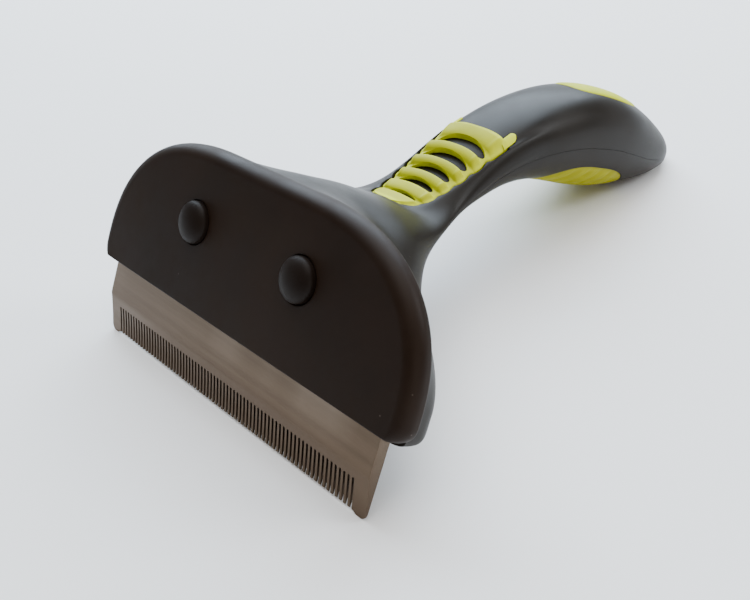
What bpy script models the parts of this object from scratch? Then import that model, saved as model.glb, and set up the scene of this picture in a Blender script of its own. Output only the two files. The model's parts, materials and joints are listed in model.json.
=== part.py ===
"""Deshedding tool: a stainless comb blade clamped to the head of a hollow two-shell handle.

The design frame has its origin at the middle of the comb's tips: X runs along the comb,
Y runs back towards the tail of the handle and Z runs up along the flat front of the head.
Every length below is in millimetres and becomes metres when a mesh is made. The whole tool
hangs from one empty, which tips it into its resting pose: comb tips and tail on the floor.
"""
import math

import bmesh
import bpy
import numpy as np
from mathutils import Matrix, Vector

MM = 0.001
GAP = 0.3                       # clearance left between pieces that touch

# Blade
BLADE_HALF_WIDTH = 50.0
BLADE_FRONT = -2.8              # front face of the flat strip
BLADE_BACK = 0.2
STRIP_PROUD = 0.05              # the strip in view stands this far above the part under the cover
BLADE_TOP = 44.0
BLADE_CREASE = 9.8              # the front bevel runs from here down to the tips
BLADE_EDGE = 0.35               # thickness left at the tips
BLADE_SHOULDER = 31.0           # the upper corners are cut off above this
BLADE_CORNER = 10.0
SLOT_COUNT = 71
SLOT_PITCH = 1.3
SLOT_WIDTH = 0.65
SLOT_TOP = 7.2
END_TINE_DROP = 0.5             # the two end tines reach below the teeth
COVER_BOTTOM = 18.4             # the cover hides the blade above this

# Front cover
COVER_FRONT = -4.95
COVER_BACK = 0.2
COVER_FLAT = 15.0               # half width of the straight part of the top edge
COVER_WAIST = 22.6              # height at which the cover is widest
COVER_REACH = 41.0              # rounded corner: half axis across
COVER_RISE = 33.6               # rounded corner: half axis upwards
COVER_POWER = 2.4
COVER_CORNER = 2.8
RIM_FRONT = 3.5                 # rounding of the front edge
RIM_BACK = 1.0
RIM_BOTTOM = 0.8
POCKET_FRONT = BLADE_FRONT - GAP

# Clamp screws, their washers, inserts and plugs
CLAMP_X = 19.1
CLAMP_Z = 38.5
CLAMP_BOSS = 4.7                # boss of the cover that passes through the blade
CLAMP_BOSS_END = 1.45
CLAMP_BORE = 3.4
CLAMP_FLOOR = 0.25
HEAD_BOSS = 7.2                 # boss in the head that takes the insert
INSERT_RADIUS = 2.6
INSERT_START = 2.05
INSERT_END = 8.0
PLUG_RADIUS = 5.3
PLUG_SEAT = 1.0                 # depth of the shallow seat around each plug
PLUG_PROUD = 2.6
PLUG_WALL = 0.9
SHANK_RADIUS = 3.1
SHANK_END = -2.75
SCREW_SHAFT = 1.5
SCREW_HOLE = SCREW_SHAFT + GAP
CLAMP_SCREW = ((0, -2.45), (2.1, -2.45), (2.7, -1.95), (2.7, -0.85), (SCREW_SHAFT, -0.85),
               (SCREW_SHAFT, 7.4), (SCREW_SHAFT - 0.5, 7.9), (0, 7.9))
WASHER_RADIUS = 3.1
WASHER_START, WASHER_END = -0.55, -0.05
DRIVE_RADIUS = 1.0              # six-sided recess in every screw head
DRIVE_DEPTH = 0.9
PIN_X = 37.0                    # two pins of the head that locate the blade
PIN_Z = 31.0
PIN_RADIUS = 1.8
PIN_TIP = -2.3
PIN_ROOT = 3.0
PIN_BOSS = 4.3

# Cutters reach this far past what they cut
CUT_FRONT, CUT_BACK = -6.0, 4.0
CUT_SIDE = 70.0
CUT_ABOVE = 4.0                 # above the skin

# Body of the head and handle: one row a station, front to tail, as
# top y, top z, bottom y, bottom z, half width, waist height, power above, power below
STATIONS = np.array([
    (0.5, 55.8, 0.5, 16.2, 53.4, 0.15, 2.7, 10.0),
    (4.5, 56.1, 4.5, 15.6, 53.0, 0.16, 2.05, 10.0),
    (8.2, 56.3, 8.8, 16.0, 51.2, 0.18, 1.75, 8.0),
    (12.0, 56.2, 12.8, 19.8, 44.0, 0.20, 1.7, 4.5),
    (17.0, 55.9, 18.0, 28.3, 34.2, 0.28, 1.8, 3.0),
    (23.0, 55.4, 25.0, 37.0, 26.2, 0.38, 1.95, 2.6),
    (30.0, 54.5, 33.5, 44.2, 20.4, 0.42, 1.9, 2.4),
    (37.2, 54.8, 42.2, 49.8, 16.2, 0.42, 1.8, 2.3),
    (44.0, 59.5, 50.4, 54.2, 13.4, 0.45, 2.0, 2.3),
    (50.6, 65.8, 58.5, 58.0, 12.4, 0.48, 2.35, 2.3),
    (58.8, 73.7, 66.2, 61.4, 12.4, 0.50, 2.6, 2.3),
    (67.6, 80.7, 74.0, 63.9, 13.0, 0.50, 2.5, 2.3),
    (79.0, 87.4, 83.0, 65.6, 14.0, 0.50, 2.3, 2.3),
    (92.5, 92.5, 93.5, 66.6, 15.0, 0.50, 2.3, 2.3),
    (107.0, 94.9, 106.5, 67.2, 16.0, 0.50, 2.3, 2.3),
    (119.5, 94.5, 118.5, 68.8, 16.2, 0.48, 2.3, 2.3),
    (130.0, 92.3, 129.0, 72.2, 15.5, 0.42, 2.3, 2.4),
    (138.0, 89.4, 137.2, 76.6, 13.6, 0.37, 2.3, 2.5),
    (143.5, 86.8, 142.8, 80.1, 10.3, 0.33, 2.2, 2.5),
    (146.3, 85.0, 146.1, 82.5, 6.2, 0.30, 2.1, 2.4),
    (147.2, 84.1, 147.3, 83.2, 3.0, 0.28, 2.0, 2.4),
])
STEPS_BETWEEN_STATIONS = 2
POINTS_AROUND = 32

# Hollow of the handle
WALL = 3.0                      # sides
WALL_DEEP = 5.0                 # above and below, under the soft pads
HEAD_CAVITY = (0.4, 5.6, 11)    # first and last station and number of sections
HANDLE_CAVITY = (9.8, 16.4, 10)  # the thin neck between them is solid
CAVITY_MOUTH = -2.0             # the hollow is open at the front of the head
CAVITY_POINTS_AROUND = 18
KEPT_FROM = -3.0                # bosses run out through the mouth
KEPT_TO = 40.0

# Parting line of the two shells
PARTING_FIRST = 8.35            # station at which it leaves the underside
PARTING_RISE = 1.2              # stations it takes to climb to its full height
PARTING_HEIGHT = 0.46
PARTING_TAIL = 0.26
PARTING_BEYOND = 12.0           # it runs on straight past the end of the tail
PARTING_START = (3.3, 7.0)      # how far forward and down the line starts outside the skin

# Soft pads, measured along y of the surface they lie in
PAD_DEPTH = 2.0
THUMB_FRONT, THUMB_REAR = 33.7, 61.6
THUMB_HALF_WIDTH = 10.8
THUMB_TAPER = 0.21             # how fast the front end widens: smaller is blunter
THUMB_PROUD = 0.8
THUMB_SLOTS = ((39.3, 0.9, 5.0), (43.6, 1.1, 5.7), (47.5, 1.3, 6.6), (51.6, 1.6, 7.8), (56.1, 1.9, 8.6))
TONGUE_REAR = 64.8              # two short tails at the rear corners of the thumb grip
TONGUE_ROOT = 1.5
TONGUE_DEPTH = 1.8
TONGUE_PROUD = 0.3
TONGUE_INNER, TONGUE_OUTER = 8.3, 10.4
HEEL_FRONT, HEEL_REAR = 94.0, 124.0
HEEL_HALF_WIDTH = 10.8
HEEL_TAPER = 0.25
HEEL_PROUD = 0.35
PALM_FRONT, PALM_REAR = 81.0, 122.5
PALM_WRAP = math.radians(63)    # half of the angle it covers on the underside
PALM_PROUD = 0.9

# Screws that join the shells
PALM_SCREWS = (("front_palm_screw", 87.0), ("rear_palm_screw", 107.0))
NECK_SCREW_Y = 53.8
SHELL_SCREW_HEAD = 2.8
SHELL_SCREW_HEAD_HEIGHT = 1.6
SHELL_BOSS = 4.4
NECK_SCREW_LENGTH = 10.6        # from the skin to the tip
PALM_SCREW_LENGTH = 17.0


# ---------------------------------------------------------------- materials and collections

def clear_scene():
    for obj in list(bpy.data.objects):
        bpy.data.objects.remove(obj, do_unlink=True)


def make_collection(name):
    collection = bpy.data.collections.new(name)
    bpy.context.scene.collection.children.link(collection)
    return collection


def make_material(name, color, roughness, metallic=0.0):
    material = bpy.data.materials.new(name)
    material.use_nodes = True
    shader = material.node_tree.nodes["Principled BSDF"]
    shader.inputs["Base Color"].default_value = (*color, 1.0)
    shader.inputs["Roughness"].default_value = roughness
    shader.inputs["Metallic"].default_value = metallic
    material.diffuse_color = (*color, 1.0)
    return material


# ---------------------------------------------------------------- mesh helpers

class Workshop:
    """Makes objects under the tool's frame, as parts or as cutters."""

    def __init__(self, frame, parts, cutters):
        self.frame = frame
        self.parts = parts
        self.cutters = cutters

    def place(self, name, mesh, material=None, location=(0, 0, 0)):
        obj = bpy.data.objects.new(name, mesh)
        obj.location = Vector(location) * MM
        obj.parent = self.frame
        if material is None:
            self.cutters.objects.link(obj)
            obj.hide_render = True
            obj.display_type = "WIRE"
        else:
            self.parts.objects.link(obj)
            mesh.materials.clear()
            mesh.materials.append(material)
        return obj


def finish_mesh(name, bm):
    """Points all faces outwards, turns millimetres into metres and shades smooth."""
    bmesh.ops.recalc_face_normals(bm, faces=bm.faces)
    bmesh.ops.scale(bm, vec=(MM, MM, MM), verts=bm.verts)
    mesh = bpy.data.meshes.new(name)
    bm.to_mesh(mesh)
    bm.free()
    mesh.shade_smooth()
    mesh.set_sharp_from_angle(angle=math.radians(35))
    return mesh


def loft(name, rings):
    """Closed body through rings of equally many points, with a flat cap on each end."""
    bm = bmesh.new()
    rows = [[bm.verts.new(point) for point in ring] for ring in rings]
    count = len(rows[0])
    for near, far in zip(rows, rows[1:]):
        for i in range(count):
            j = (i + 1) % count
            bm.faces.new((near[i], near[j], far[j], far[i]))
    bm.faces.new(rows[0])
    bm.faces.new(rows[-1])
    return finish_mesh(name, bm)


def slab(name, outline, low, high, turn):
    """Extrudes a flat outline as a filled 2D curve and turns it into the design frame."""
    curve = bpy.data.curves.new(name, "CURVE")
    curve.dimensions = "2D"
    curve.fill_mode = "BOTH"
    curve.extrude = (high - low) / 2
    spline_path = curve.splines.new("POLY")
    spline_path.points.add(len(outline) - 1)
    for point, (u, v) in zip(spline_path.points, outline):
        point.co = (u, v, 0, 1)
    spline_path.use_cyclic_u = True
    source = bpy.data.objects.new(name, curve)
    bpy.context.scene.collection.objects.link(source)
    bpy.context.view_layer.update()
    evaluated = source.evaluated_get(bpy.context.evaluated_depsgraph_get())
    flat = bpy.data.meshes.new_from_object(evaluated)
    bpy.data.objects.remove(source, do_unlink=True)
    bm = bmesh.new()
    bm.from_mesh(flat)
    bpy.data.meshes.remove(flat)
    bmesh.ops.remove_doubles(bm, verts=bm.verts, dist=0.0001)
    bmesh.ops.translate(bm, vec=(0, 0, (low + high) / 2), verts=bm.verts)
    bmesh.ops.transform(bm, matrix=turn, verts=bm.verts)
    return finish_mesh(name, bm)


# (u, v, depth) of an outline becomes (x, z, y): drawn as seen from the front
FACING_FRONT = Matrix(((1, 0, 0, 0), (0, 0, 1, 0), (0, 1, 0, 0), (0, 0, 0, 1)))
# (u, v, depth) of an outline becomes (y, z, x): drawn as seen from the side
FACING_SIDE = Matrix(((0, 0, 1, 0), (1, 0, 0, 0), (0, 1, 0, 0), (0, 0, 0, 1)))


def add_rod(bm, radius, low, high, matrix, segments):
    """Adds a capped cylinder that spans low to high along the matrix's own Z axis."""
    middle = Matrix.Translation((0, 0, (low + high) / 2))
    bmesh.ops.create_cone(bm, cap_ends=True, segments=segments, radius1=radius,
                          radius2=radius, depth=high - low, matrix=matrix @ middle)


def rods(name, rows, segments=16):
    """One mesh of rods, each given as radius, low, high and matrix."""
    bm = bmesh.new()
    for radius, low, high, matrix in rows:
        add_rod(bm, radius, low, high, matrix, segments)
    return finish_mesh(name, bm)


def turned(name, profile, segments=20):
    """Turns a profile of (radius, depth) about the local Y axis; it starts and ends on it."""
    bm = bmesh.new()
    rings = []
    for radius, depth in profile[1:-1]:
        angles = [2 * math.pi * k / segments for k in range(segments)]
        rings.append([bm.verts.new((radius * math.cos(a), depth, radius * math.sin(a))) for a in angles])
    ends = [bm.verts.new((0, profile[0][1], 0)), bm.verts.new((0, profile[-1][1], 0))]
    for near, far in zip(rings, rings[1:]):
        for i in range(segments):
            j = (i + 1) % segments
            bm.faces.new((near[i], near[j], far[j], far[i]))
    for end, ring in zip(ends, (rings[0], rings[-1])):
        for i in range(segments):
            bm.faces.new((end, ring[i], ring[(i + 1) % segments]))
    return finish_mesh(name, bm)


def box(name, low, high):
    bm = bmesh.new()
    bmesh.ops.create_cube(bm, size=1)
    size = Vector(high) - Vector(low)
    bmesh.ops.scale(bm, vec=size, verts=bm.verts)
    bmesh.ops.translate(bm, vec=(Vector(high) + Vector(low)) / 2, verts=bm.verts)
    return finish_mesh(name, bm)


def combine(obj, other, operation="DIFFERENCE"):
    modifier = obj.modifiers.new(other.name, "BOOLEAN")
    modifier.operation = operation
    modifier.solver = "EXACT"
    modifier.object = other


def along_y(x, z):
    """Matrix whose Z axis runs along the design frame's Y, through x and z."""
    return Matrix.Translation((x, 0, z)) @ Matrix.Rotation(-math.pi / 2, 4, "X")


# ---------------------------------------------------------------- the body's surface

def natural_spline(knots, values, at):
    """Natural cubic spline through the values at the knots, read at the given places."""
    count = len(knots)
    step = np.diff(knots)
    system = np.eye(count)
    right = np.zeros_like(values)
    for i in range(1, count - 1):
        system[i, i - 1:i + 2] = (step[i - 1], 2 * (step[i - 1] + step[i]), step[i])
        right[i] = 6 * ((values[i + 1] - values[i]) / step[i] - (values[i] - values[i - 1]) / step[i - 1])
    bend = np.linalg.solve(system, right)
    rows = []
    for place in at:
        i = min(max(int(np.searchsorted(knots, place)) - 1, 0), count - 2)
        after, before, h = place - knots[i], knots[i + 1] - place, step[i]
        rows.append((bend[i] * before ** 3 + bend[i + 1] * after ** 3) / (6 * h)
                    + (values[i] / h - bend[i] * h / 6) * before
                    + (values[i + 1] / h - bend[i + 1] * h / 6) * after)
    return np.array(rows)


class Body:
    """The outer skin of the head and handle, read at a station number and an angle."""

    def __init__(self, stations):
        middle = (stations[:, 0:2] + stations[:, 2:4]) / 2
        self.stations = stations
        self.knots = np.concatenate(([0.0], np.cumsum(np.linalg.norm(np.diff(middle, axis=0), axis=1))))
        self.fine = np.linspace(0, len(stations) - 1, 1200)
        self.fine_rows = self.rows(self.fine)

    def rows(self, numbers):
        places = np.interp(numbers, np.arange(len(self.stations)), self.knots)
        return natural_spline(self.knots, self.stations, places)

    def number_at(self, y, column):
        """Station number where the top (column 0) or bottom (column 2) reaches y."""
        return float(np.interp(y, self.fine_rows[:, column], self.fine))

    def point(self, row, angle, offset=0.0):
        """Point of the skin in the section of row; angle 0 is +X and 90 degrees is the top."""
        top, bottom = row[0:2], row[2:4]
        tall = np.linalg.norm(top - bottom)
        up = (top - bottom) / tall
        above = math.sin(angle) >= 0
        power = row[6] if above else row[7]
        wide = row[4]
        high = tall * ((1 - row[5]) if above else row[5])
        c, s = math.cos(angle), math.sin(angle)
        x = wide * math.copysign(abs(c) ** (2 / power), c)
        v = high * math.copysign(abs(s) ** (2 / power), s)
        if offset:
            normal = np.array((math.copysign(abs(x / wide) ** (power - 1) / wide, x),
                               math.copysign(abs(v / high) ** (power - 1) / high, v)))
            normal /= np.linalg.norm(normal)
            x, v = x + offset * normal[0], v + offset * normal[1]
        y, z = bottom + up * (tall * row[5] + v)
        return (x, y, z)

    def angle_at(self, row, x):
        """Angle above the waist at which the skin is x from the middle."""
        return math.acos(min(max(x / row[4], 0.0), 1.0) ** (row[6] / 2))


def around(count):
    return [2 * math.pi * (i + 0.5) / count for i in range(count)]


def body_rings(body):
    numbers = np.linspace(0, len(STATIONS) - 1, (len(STATIONS) - 1) * STEPS_BETWEEN_STATIONS + 1)
    return [[body.point(row, angle) for angle in around(POINTS_AROUND)] for row in body.rows(numbers)]


def cavity_rings(body, first, last, sections):
    """Rings of a hollow between two stations: the skin moved in, thicker above and below."""
    rings = []
    for row in body.rows(np.linspace(first, last, sections)):
        inner = row.copy()
        deep = np.interp(row[0], (20.0, 34.0), (WALL, WALL_DEEP))
        up = (row[0:2] - row[2:4]) / np.linalg.norm(row[0:2] - row[2:4])
        inner[0:2] -= up * deep
        inner[2:4] += up * deep
        inner[4] -= WALL
        rings.append([body.point(inner, angle) for angle in around(CAVITY_POINTS_AROUND)])
    return rings


# ---------------------------------------------------------------- soft pads

def pad_rings(body, column, spans, inner, outer, across=6):
    """Rings of a pad: spans gives, for each y, the half angle from the middle and its rise."""
    middle = math.pi / 2 if column == 0 else -math.pi / 2
    rings = []
    for y, half, rise in spans:
        row = body.rows([body.number_at(y, column)])[0]
        shares = [2 * i / across - 1 for i in range(across + 1)]
        top = [body.point(row, middle + half * t, outer(rise, t)) for t in shares]
        under = [body.point(row, middle + half * t, inner) for t in reversed(shares)]
        rings.append(top + under)
    return rings


def thumb_half_width(y):
    share = min(max((y - THUMB_FRONT) / (THUMB_REAR - THUMB_FRONT), 0.0), 1.0)
    return THUMB_HALF_WIDTH * share ** THUMB_TAPER


def thumb_rise(y):
    """Ribs of the thumb grip: a round crest between each two slots."""
    edges = [THUMB_FRONT] + [slot[0] for slot in THUMB_SLOTS] + [THUMB_REAR]
    for low, high in zip(edges, edges[1:]):
        if low <= y <= high:
            return THUMB_PROUD * math.sin(math.pi * (y - low) / (high - low)) ** 0.7
    return 0.0


def thumb_spans(body, margin):
    """Half angle and rise of the thumb grip, or of its recess when margin is above zero."""
    spans = []
    edges = [THUMB_FRONT] + [slot[0] for slot in THUMB_SLOTS] + [THUMB_REAR]
    places = [THUMB_FRONT + 0.3, THUMB_FRONT + 0.9]
    for low, high in zip(edges, edges[1:]):
        places += [low + (high - low) * share for share in (0.3, 0.7, 1.0)]
    for held in places:
        y = held
        if held == places[0]:
            y -= margin
        if held == places[-1]:
            y += margin
        row = body.rows([body.number_at(y, 0)])[0]
        half = math.pi / 2 - body.angle_at(row, thumb_half_width(held) + margin)
        spans.append((y, half, thumb_rise(held)))
    return spans


def side_patch(body, y_low, y_high, x_low, x_high, inner, outer, steps=3):
    """Small block in the skin above the waist, between two heights of x."""
    rings = []
    for y in np.linspace(y_low, y_high, steps):
        row = body.rows([body.number_at(y, 0)])[0]
        angles = [body.angle_at(row, abs(x)) for x in np.linspace(x_low, x_high, 3)]
        if x_low < 0:
            angles = [math.pi - angle for angle in angles]
        top = [body.point(row, angle, outer) for angle in angles]
        under = [body.point(row, angle, inner) for angle in reversed(angles)]
        rings.append(top + under)
    return rings


def slot_rings(body, middle, length, half_width):
    spans = []
    for y in (middle - length / 2, middle + length / 2):
        row = body.rows([body.number_at(y, 0)])[0]
        spans.append((y, math.pi / 2 - body.angle_at(row, half_width), 0.0))
    return pad_rings(body, 0, spans, -PAD_DEPTH - 1.5, lambda rise, t: CUT_ABOVE, across=8)


def heel_spans(body, margin):
    spans = []
    for share in (1 - np.cos(np.linspace(0.12, math.pi - 0.2, 14))) / 2:
        y = HEEL_FRONT + share * (HEEL_REAR - HEEL_FRONT)
        half_width = HEEL_HALF_WIDTH * share ** HEEL_TAPER * math.sqrt(1 - share ** 6)
        if share == (1 - math.cos(0.12)) / 2:
            y -= margin
        row = body.rows([body.number_at(y, 0)])[0]
        spans.append([y, math.pi / 2 - body.angle_at(row, half_width + margin), HEEL_PROUD])
    spans[-1][0] += margin
    return spans


def palm_spans(margin):
    """The palm pad's wrap angle; a recess is wider by the margin on a handle about 15 wide."""
    spans = []
    for share in np.linspace(0.02, 0.98, 16):
        y = PALM_FRONT + share * (PALM_REAR - PALM_FRONT)
        wrap = PALM_WRAP * math.sqrt(1 - abs(2 * share - 1) ** 3)
        spans.append([y, wrap + margin / 14.0, PALM_PROUD * math.sin(math.pi * share)])
    spans[0][0] -= margin
    spans[-1][0] += margin
    return spans


# ---------------------------------------------------------------- outlines

def comb_outline():
    """Blade as seen from the front: cut upper corners and the slots between the tines."""
    first = -(SLOT_COUNT - 1) / 2 * SLOT_PITCH
    half = SLOT_WIDTH / 2
    points = [(BLADE_HALF_WIDTH, BLADE_SHOULDER), (BLADE_HALF_WIDTH - BLADE_CORNER, BLADE_TOP),
              (BLADE_CORNER - BLADE_HALF_WIDTH, BLADE_TOP), (-BLADE_HALF_WIDTH, BLADE_SHOULDER)]
    end = first - half
    points += [(-BLADE_HALF_WIDTH, 1.2), (-BLADE_HALF_WIDTH + 0.4, -END_TINE_DROP + 0.5),
               (-BLADE_HALF_WIDTH + 1.4, -END_TINE_DROP), (end - 1.2, -END_TINE_DROP), (end - 0.6, 0.0)]
    for k in range(SLOT_COUNT):
        x = first + k * SLOT_PITCH
        points += [(x - half, 0.0), (x - half, SLOT_TOP - half), (x - half / 2, SLOT_TOP),
                   (x + half / 2, SLOT_TOP), (x + half, SLOT_TOP - half), (x + half, 0.0)]
    points += [(-x, z) for x, z in reversed(points[4:9])]
    return points


def blade_profile():
    """Blade as seen from the side: flat back, flat strip and long bevel on the front."""
    low = -END_TINE_DROP - 0.5
    lean = (BLADE_FRONT - BLADE_BACK + BLADE_EDGE) / BLADE_CREASE
    foot = BLADE_BACK - BLADE_EDGE + lean * low
    held = BLADE_FRONT + STRIP_PROUD
    return [(BLADE_BACK, low), (BLADE_BACK, BLADE_TOP + 1), (held, BLADE_TOP + 1),
            (held, COVER_BOTTOM - 0.3), (BLADE_FRONT, COVER_BOTTOM - 0.4),
            (BLADE_FRONT, BLADE_CREASE), (foot, low)]


def blade_seat(margin, low):
    """Outline of the part of the blade that the cover holds."""
    wide = BLADE_HALF_WIDTH + margin
    return [(wide, low), (wide, BLADE_SHOULDER), (wide - BLADE_CORNER, BLADE_TOP + margin),
            (BLADE_CORNER - wide, BLADE_TOP + margin), (-wide, BLADE_SHOULDER), (-wide, low)]


def cover_ring(y, inset, lift):
    """Outline of the D-shaped cover, moved in by inset, its bottom edge raised by lift."""
    reach, rise = COVER_REACH - inset, COVER_RISE - inset
    half = []
    for k in range(15):
        a = math.pi / 2 * k / 14
        half.append((COVER_FLAT + reach * math.cos(a) ** (2 / COVER_POWER),
                     COVER_WAIST + rise * math.sin(a) ** (2 / COVER_POWER)))
    corner = []
    wide = COVER_FLAT + reach
    drop = COVER_WAIST - COVER_BOTTOM - lift
    turn = max(COVER_CORNER - inset, 0.5)
    for k in range(5):
        a = math.pi / 2 * k / 4
        corner.append((wide - turn * (1 - math.sin(a)), COVER_WAIST - drop * math.cos(a)))
    right = corner[:-1] + half
    left = [(-x, z) for x, z in reversed(right)]
    return [(x, y, z) for x, z in right + left]


# ---------------------------------------------------------------- the pieces

def make_blade(shop, steel):
    blade = shop.place("blade", slab("blade", comb_outline(), CUT_FRONT, CUT_BACK, FACING_FRONT), steel)
    profile = slab("blade_profile", blade_profile(), -CUT_SIDE, CUT_SIDE, FACING_SIDE)
    combine(blade, shop.place("blade_profile", profile), "INTERSECT")
    span = (CUT_FRONT, CUT_BACK)
    holes = [(CLAMP_BOSS + GAP, *span, along_y(side * CLAMP_X, CLAMP_Z)) for side in (-1, 1)]
    holes += [(PIN_RADIUS + GAP, *span, along_y(side * PIN_X, PIN_Z)) for side in (-1, 1)]
    combine(blade, shop.place("blade_holes", rods("blade_holes", holes)))


def make_cover(shop, plastic):
    rings = []
    for k in range(5):
        a = math.pi / 2 * k / 4
        rings.append(cover_ring(COVER_FRONT + RIM_FRONT * (1 - math.cos(a)), RIM_FRONT * (1 - math.sin(a)),
                                RIM_BOTTOM * (1 - math.sin(a))))
    for k in range(4):
        a = math.pi / 2 * k / 3
        rings.append(cover_ring(COVER_BACK - RIM_BACK * (1 - math.sin(a)), RIM_BACK * (1 - math.cos(a)), 0.0))
    cover = shop.place("front_cover", loft("front_cover", rings), plastic)
    pocket = shop.place("cover_pocket", slab("cover_pocket", blade_seat(GAP, 0.0), POCKET_FRONT, CUT_BACK, FACING_FRONT))
    bosses = [(CLAMP_BOSS, POCKET_FRONT - 1, CLAMP_BOSS_END, along_y(side * CLAMP_X, CLAMP_Z))
              for side in (-1, 1)]
    combine(cover, pocket)
    combine(cover, shop.place("cover_bosses", rods("cover_bosses", bosses)), "UNION")
    seat_floor = COVER_FRONT + PLUG_SEAT
    for label, radius, low, high in (("seats", PLUG_RADIUS + GAP, COVER_FRONT - 3, seat_floor),
                                     ("bores", CLAMP_BORE, seat_floor - 1, CLAMP_FLOOR),
                                     ("holes", SCREW_HOLE, CLAMP_FLOOR - 1, CLAMP_BOSS_END + 1)):
        cutters = [(radius, low, high, along_y(side * CLAMP_X, CLAMP_Z)) for side in (-1, 1)]
        combine(cover, shop.place("cover_" + label, rods("cover_" + label, cutters, 20)))


def make_clamps(shop, rubber, steel, brass):
    """Plug, screw, washer and insert on each side, from the front to the back."""
    seat_floor = COVER_FRONT + PLUG_SEAT
    base = seat_floor - GAP
    crown = COVER_FRONT - PLUG_PROUD
    wall_top = COVER_FRONT - PLUG_WALL
    for side, label in ((-1, "left"), (1, "right")):
        # Depths of the plug are measured from its own origin, which lies on the cover's face
        origin = COVER_FRONT
        dome = []
        for k in range(5):
            a = math.pi / 2 * k / 5
            dome.append((PLUG_RADIUS * math.cos(a) ** 0.8,
                         wall_top - origin - (wall_top - crown) * math.sin(a)))
        profile = [(0, SHANK_END - origin), (SHANK_RADIUS - 0.4, SHANK_END - origin),
                   (SHANK_RADIUS, SHANK_END - origin - 0.4), (SHANK_RADIUS, base - origin),
                   (PLUG_RADIUS, base - origin)] + dome + [(0, crown - origin)]
        name = label + "_screw_plug"
        shop.place(name, turned(name, profile), rubber, (side * CLAMP_X, origin, CLAMP_Z))

        name = label + "_clamp_screw"
        screw = shop.place(name, turned(name, CLAMP_SCREW, 12), steel, (side * CLAMP_X, 0, CLAMP_Z))
        recess = (DRIVE_RADIUS, CUT_FRONT, CLAMP_SCREW[0][1] + DRIVE_DEPTH, along_y(side * CLAMP_X, CLAMP_Z))
        combine(screw, shop.place(name + "_drive", rods(name + "_drive", [recess], 6)))

        name = label + "_clamp_washer"
        ring = rods(name, [(WASHER_RADIUS, WASHER_START, WASHER_END, along_y(side * CLAMP_X, CLAMP_Z))])
        washer = shop.place(name, ring, steel)
        bore = rods(name + "_bore", [(SCREW_HOLE, CUT_FRONT, CUT_BACK, along_y(side * CLAMP_X, CLAMP_Z))])
        combine(washer, shop.place(name + "_bore", bore))

        name = label + "_threaded_insert"
        sleeve = rods(name, [(INSERT_RADIUS, INSERT_START, INSERT_END, along_y(side * CLAMP_X, CLAMP_Z))])
        insert = shop.place(name, sleeve, brass)
        bore = rods(name + "_bore", [(SCREW_HOLE, CUT_FRONT, INSERT_END + 2, along_y(side * CLAMP_X, CLAMP_Z))])
        combine(insert, shop.place(name + "_bore", bore))


def parting_outline(body, shift):
    """Side view of everything below the parting line, which is moved up by shift."""
    numbers = np.linspace(PARTING_FIRST, len(STATIONS) - 1, 34)
    points = []
    for number, row in zip(numbers, body.rows(numbers)):
        climb = min((number - PARTING_FIRST) / PARTING_RISE, 1.0)
        level = PARTING_HEIGHT * math.sin(climb * math.pi / 2)
        level += (PARTING_TAIL - PARTING_HEIGHT) * max(number - 14.0, 0.0) / (len(STATIONS) - 15.0)
        top, bottom = row[0:2], row[2:4]
        up = (top - bottom) / np.linalg.norm(top - bottom)
        points.append(tuple(bottom + (top - bottom) * level + up * shift))
    start = (points[0][0] - PARTING_START[0] - shift, points[0][1] - PARTING_START[1])
    before, last = Vector(points[-2]), Vector(points.pop())
    stop = tuple(last + (last - before).normalized() * PARTING_BEYOND)
    return [start] + points + [stop, (stop[0], 20.0), (start[0], 20.0)]


def shell_screws(body):
    """Axis matrix of each shell screw; its Z axis points up from the lower shell."""
    rows = []
    for name, y in PALM_SCREWS:
        row = body.rows([body.number_at(y, 2)])[0]
        rows.append((name, Matrix.Translation((0, y, row[3]))))
    row = body.rows([body.number_at(NECK_SCREW_Y, 0)])[0]
    lean = math.atan2(row[2] - row[0], row[1] - row[3])
    rows.append(("neck_screw", Matrix.Translation((0, row[0], row[1])) @ Matrix.Rotation(math.pi + lean, 4, "X")))
    return rows


def make_cavity(shop, body, name, rings, keep):
    """A hollow in the shells, with the screw bosses in keep left standing in it."""
    cavity = shop.place(name, loft(name, rings))
    for index, row in enumerate(keep):
        boss = "%s_boss_%d" % (name, index)
        combine(cavity, shop.place(boss, rods(boss, [row], 14)))
    return cavity


def make_head_cavity(shop, body):
    """The hollow of the head: open at the front, with a boss for each screw and pin."""
    rings = cavity_rings(body, *HEAD_CAVITY)
    mouth = [(x, CAVITY_MOUTH, z) for x, _, z in rings[0]]
    keep = [(HEAD_BOSS, KEPT_FROM, KEPT_TO, along_y(side * CLAMP_X, CLAMP_Z)) for side in (-1, 1)]
    keep += [(PIN_BOSS, KEPT_FROM, KEPT_TO, along_y(side * PIN_X, PIN_Z)) for side in (-1, 1)]
    return make_cavity(shop, body, "head_cavity", [mouth] + rings, keep)


def make_handle_cavity(shop, body):
    """The hollow of the handle, which the parting line opens to both shells."""
    keep = [(SHELL_BOSS, KEPT_FROM, KEPT_TO, matrix) for _, matrix in shell_screws(body)]
    return make_cavity(shop, body, "handle_cavity", cavity_rings(body, *HANDLE_CAVITY), keep)


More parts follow.
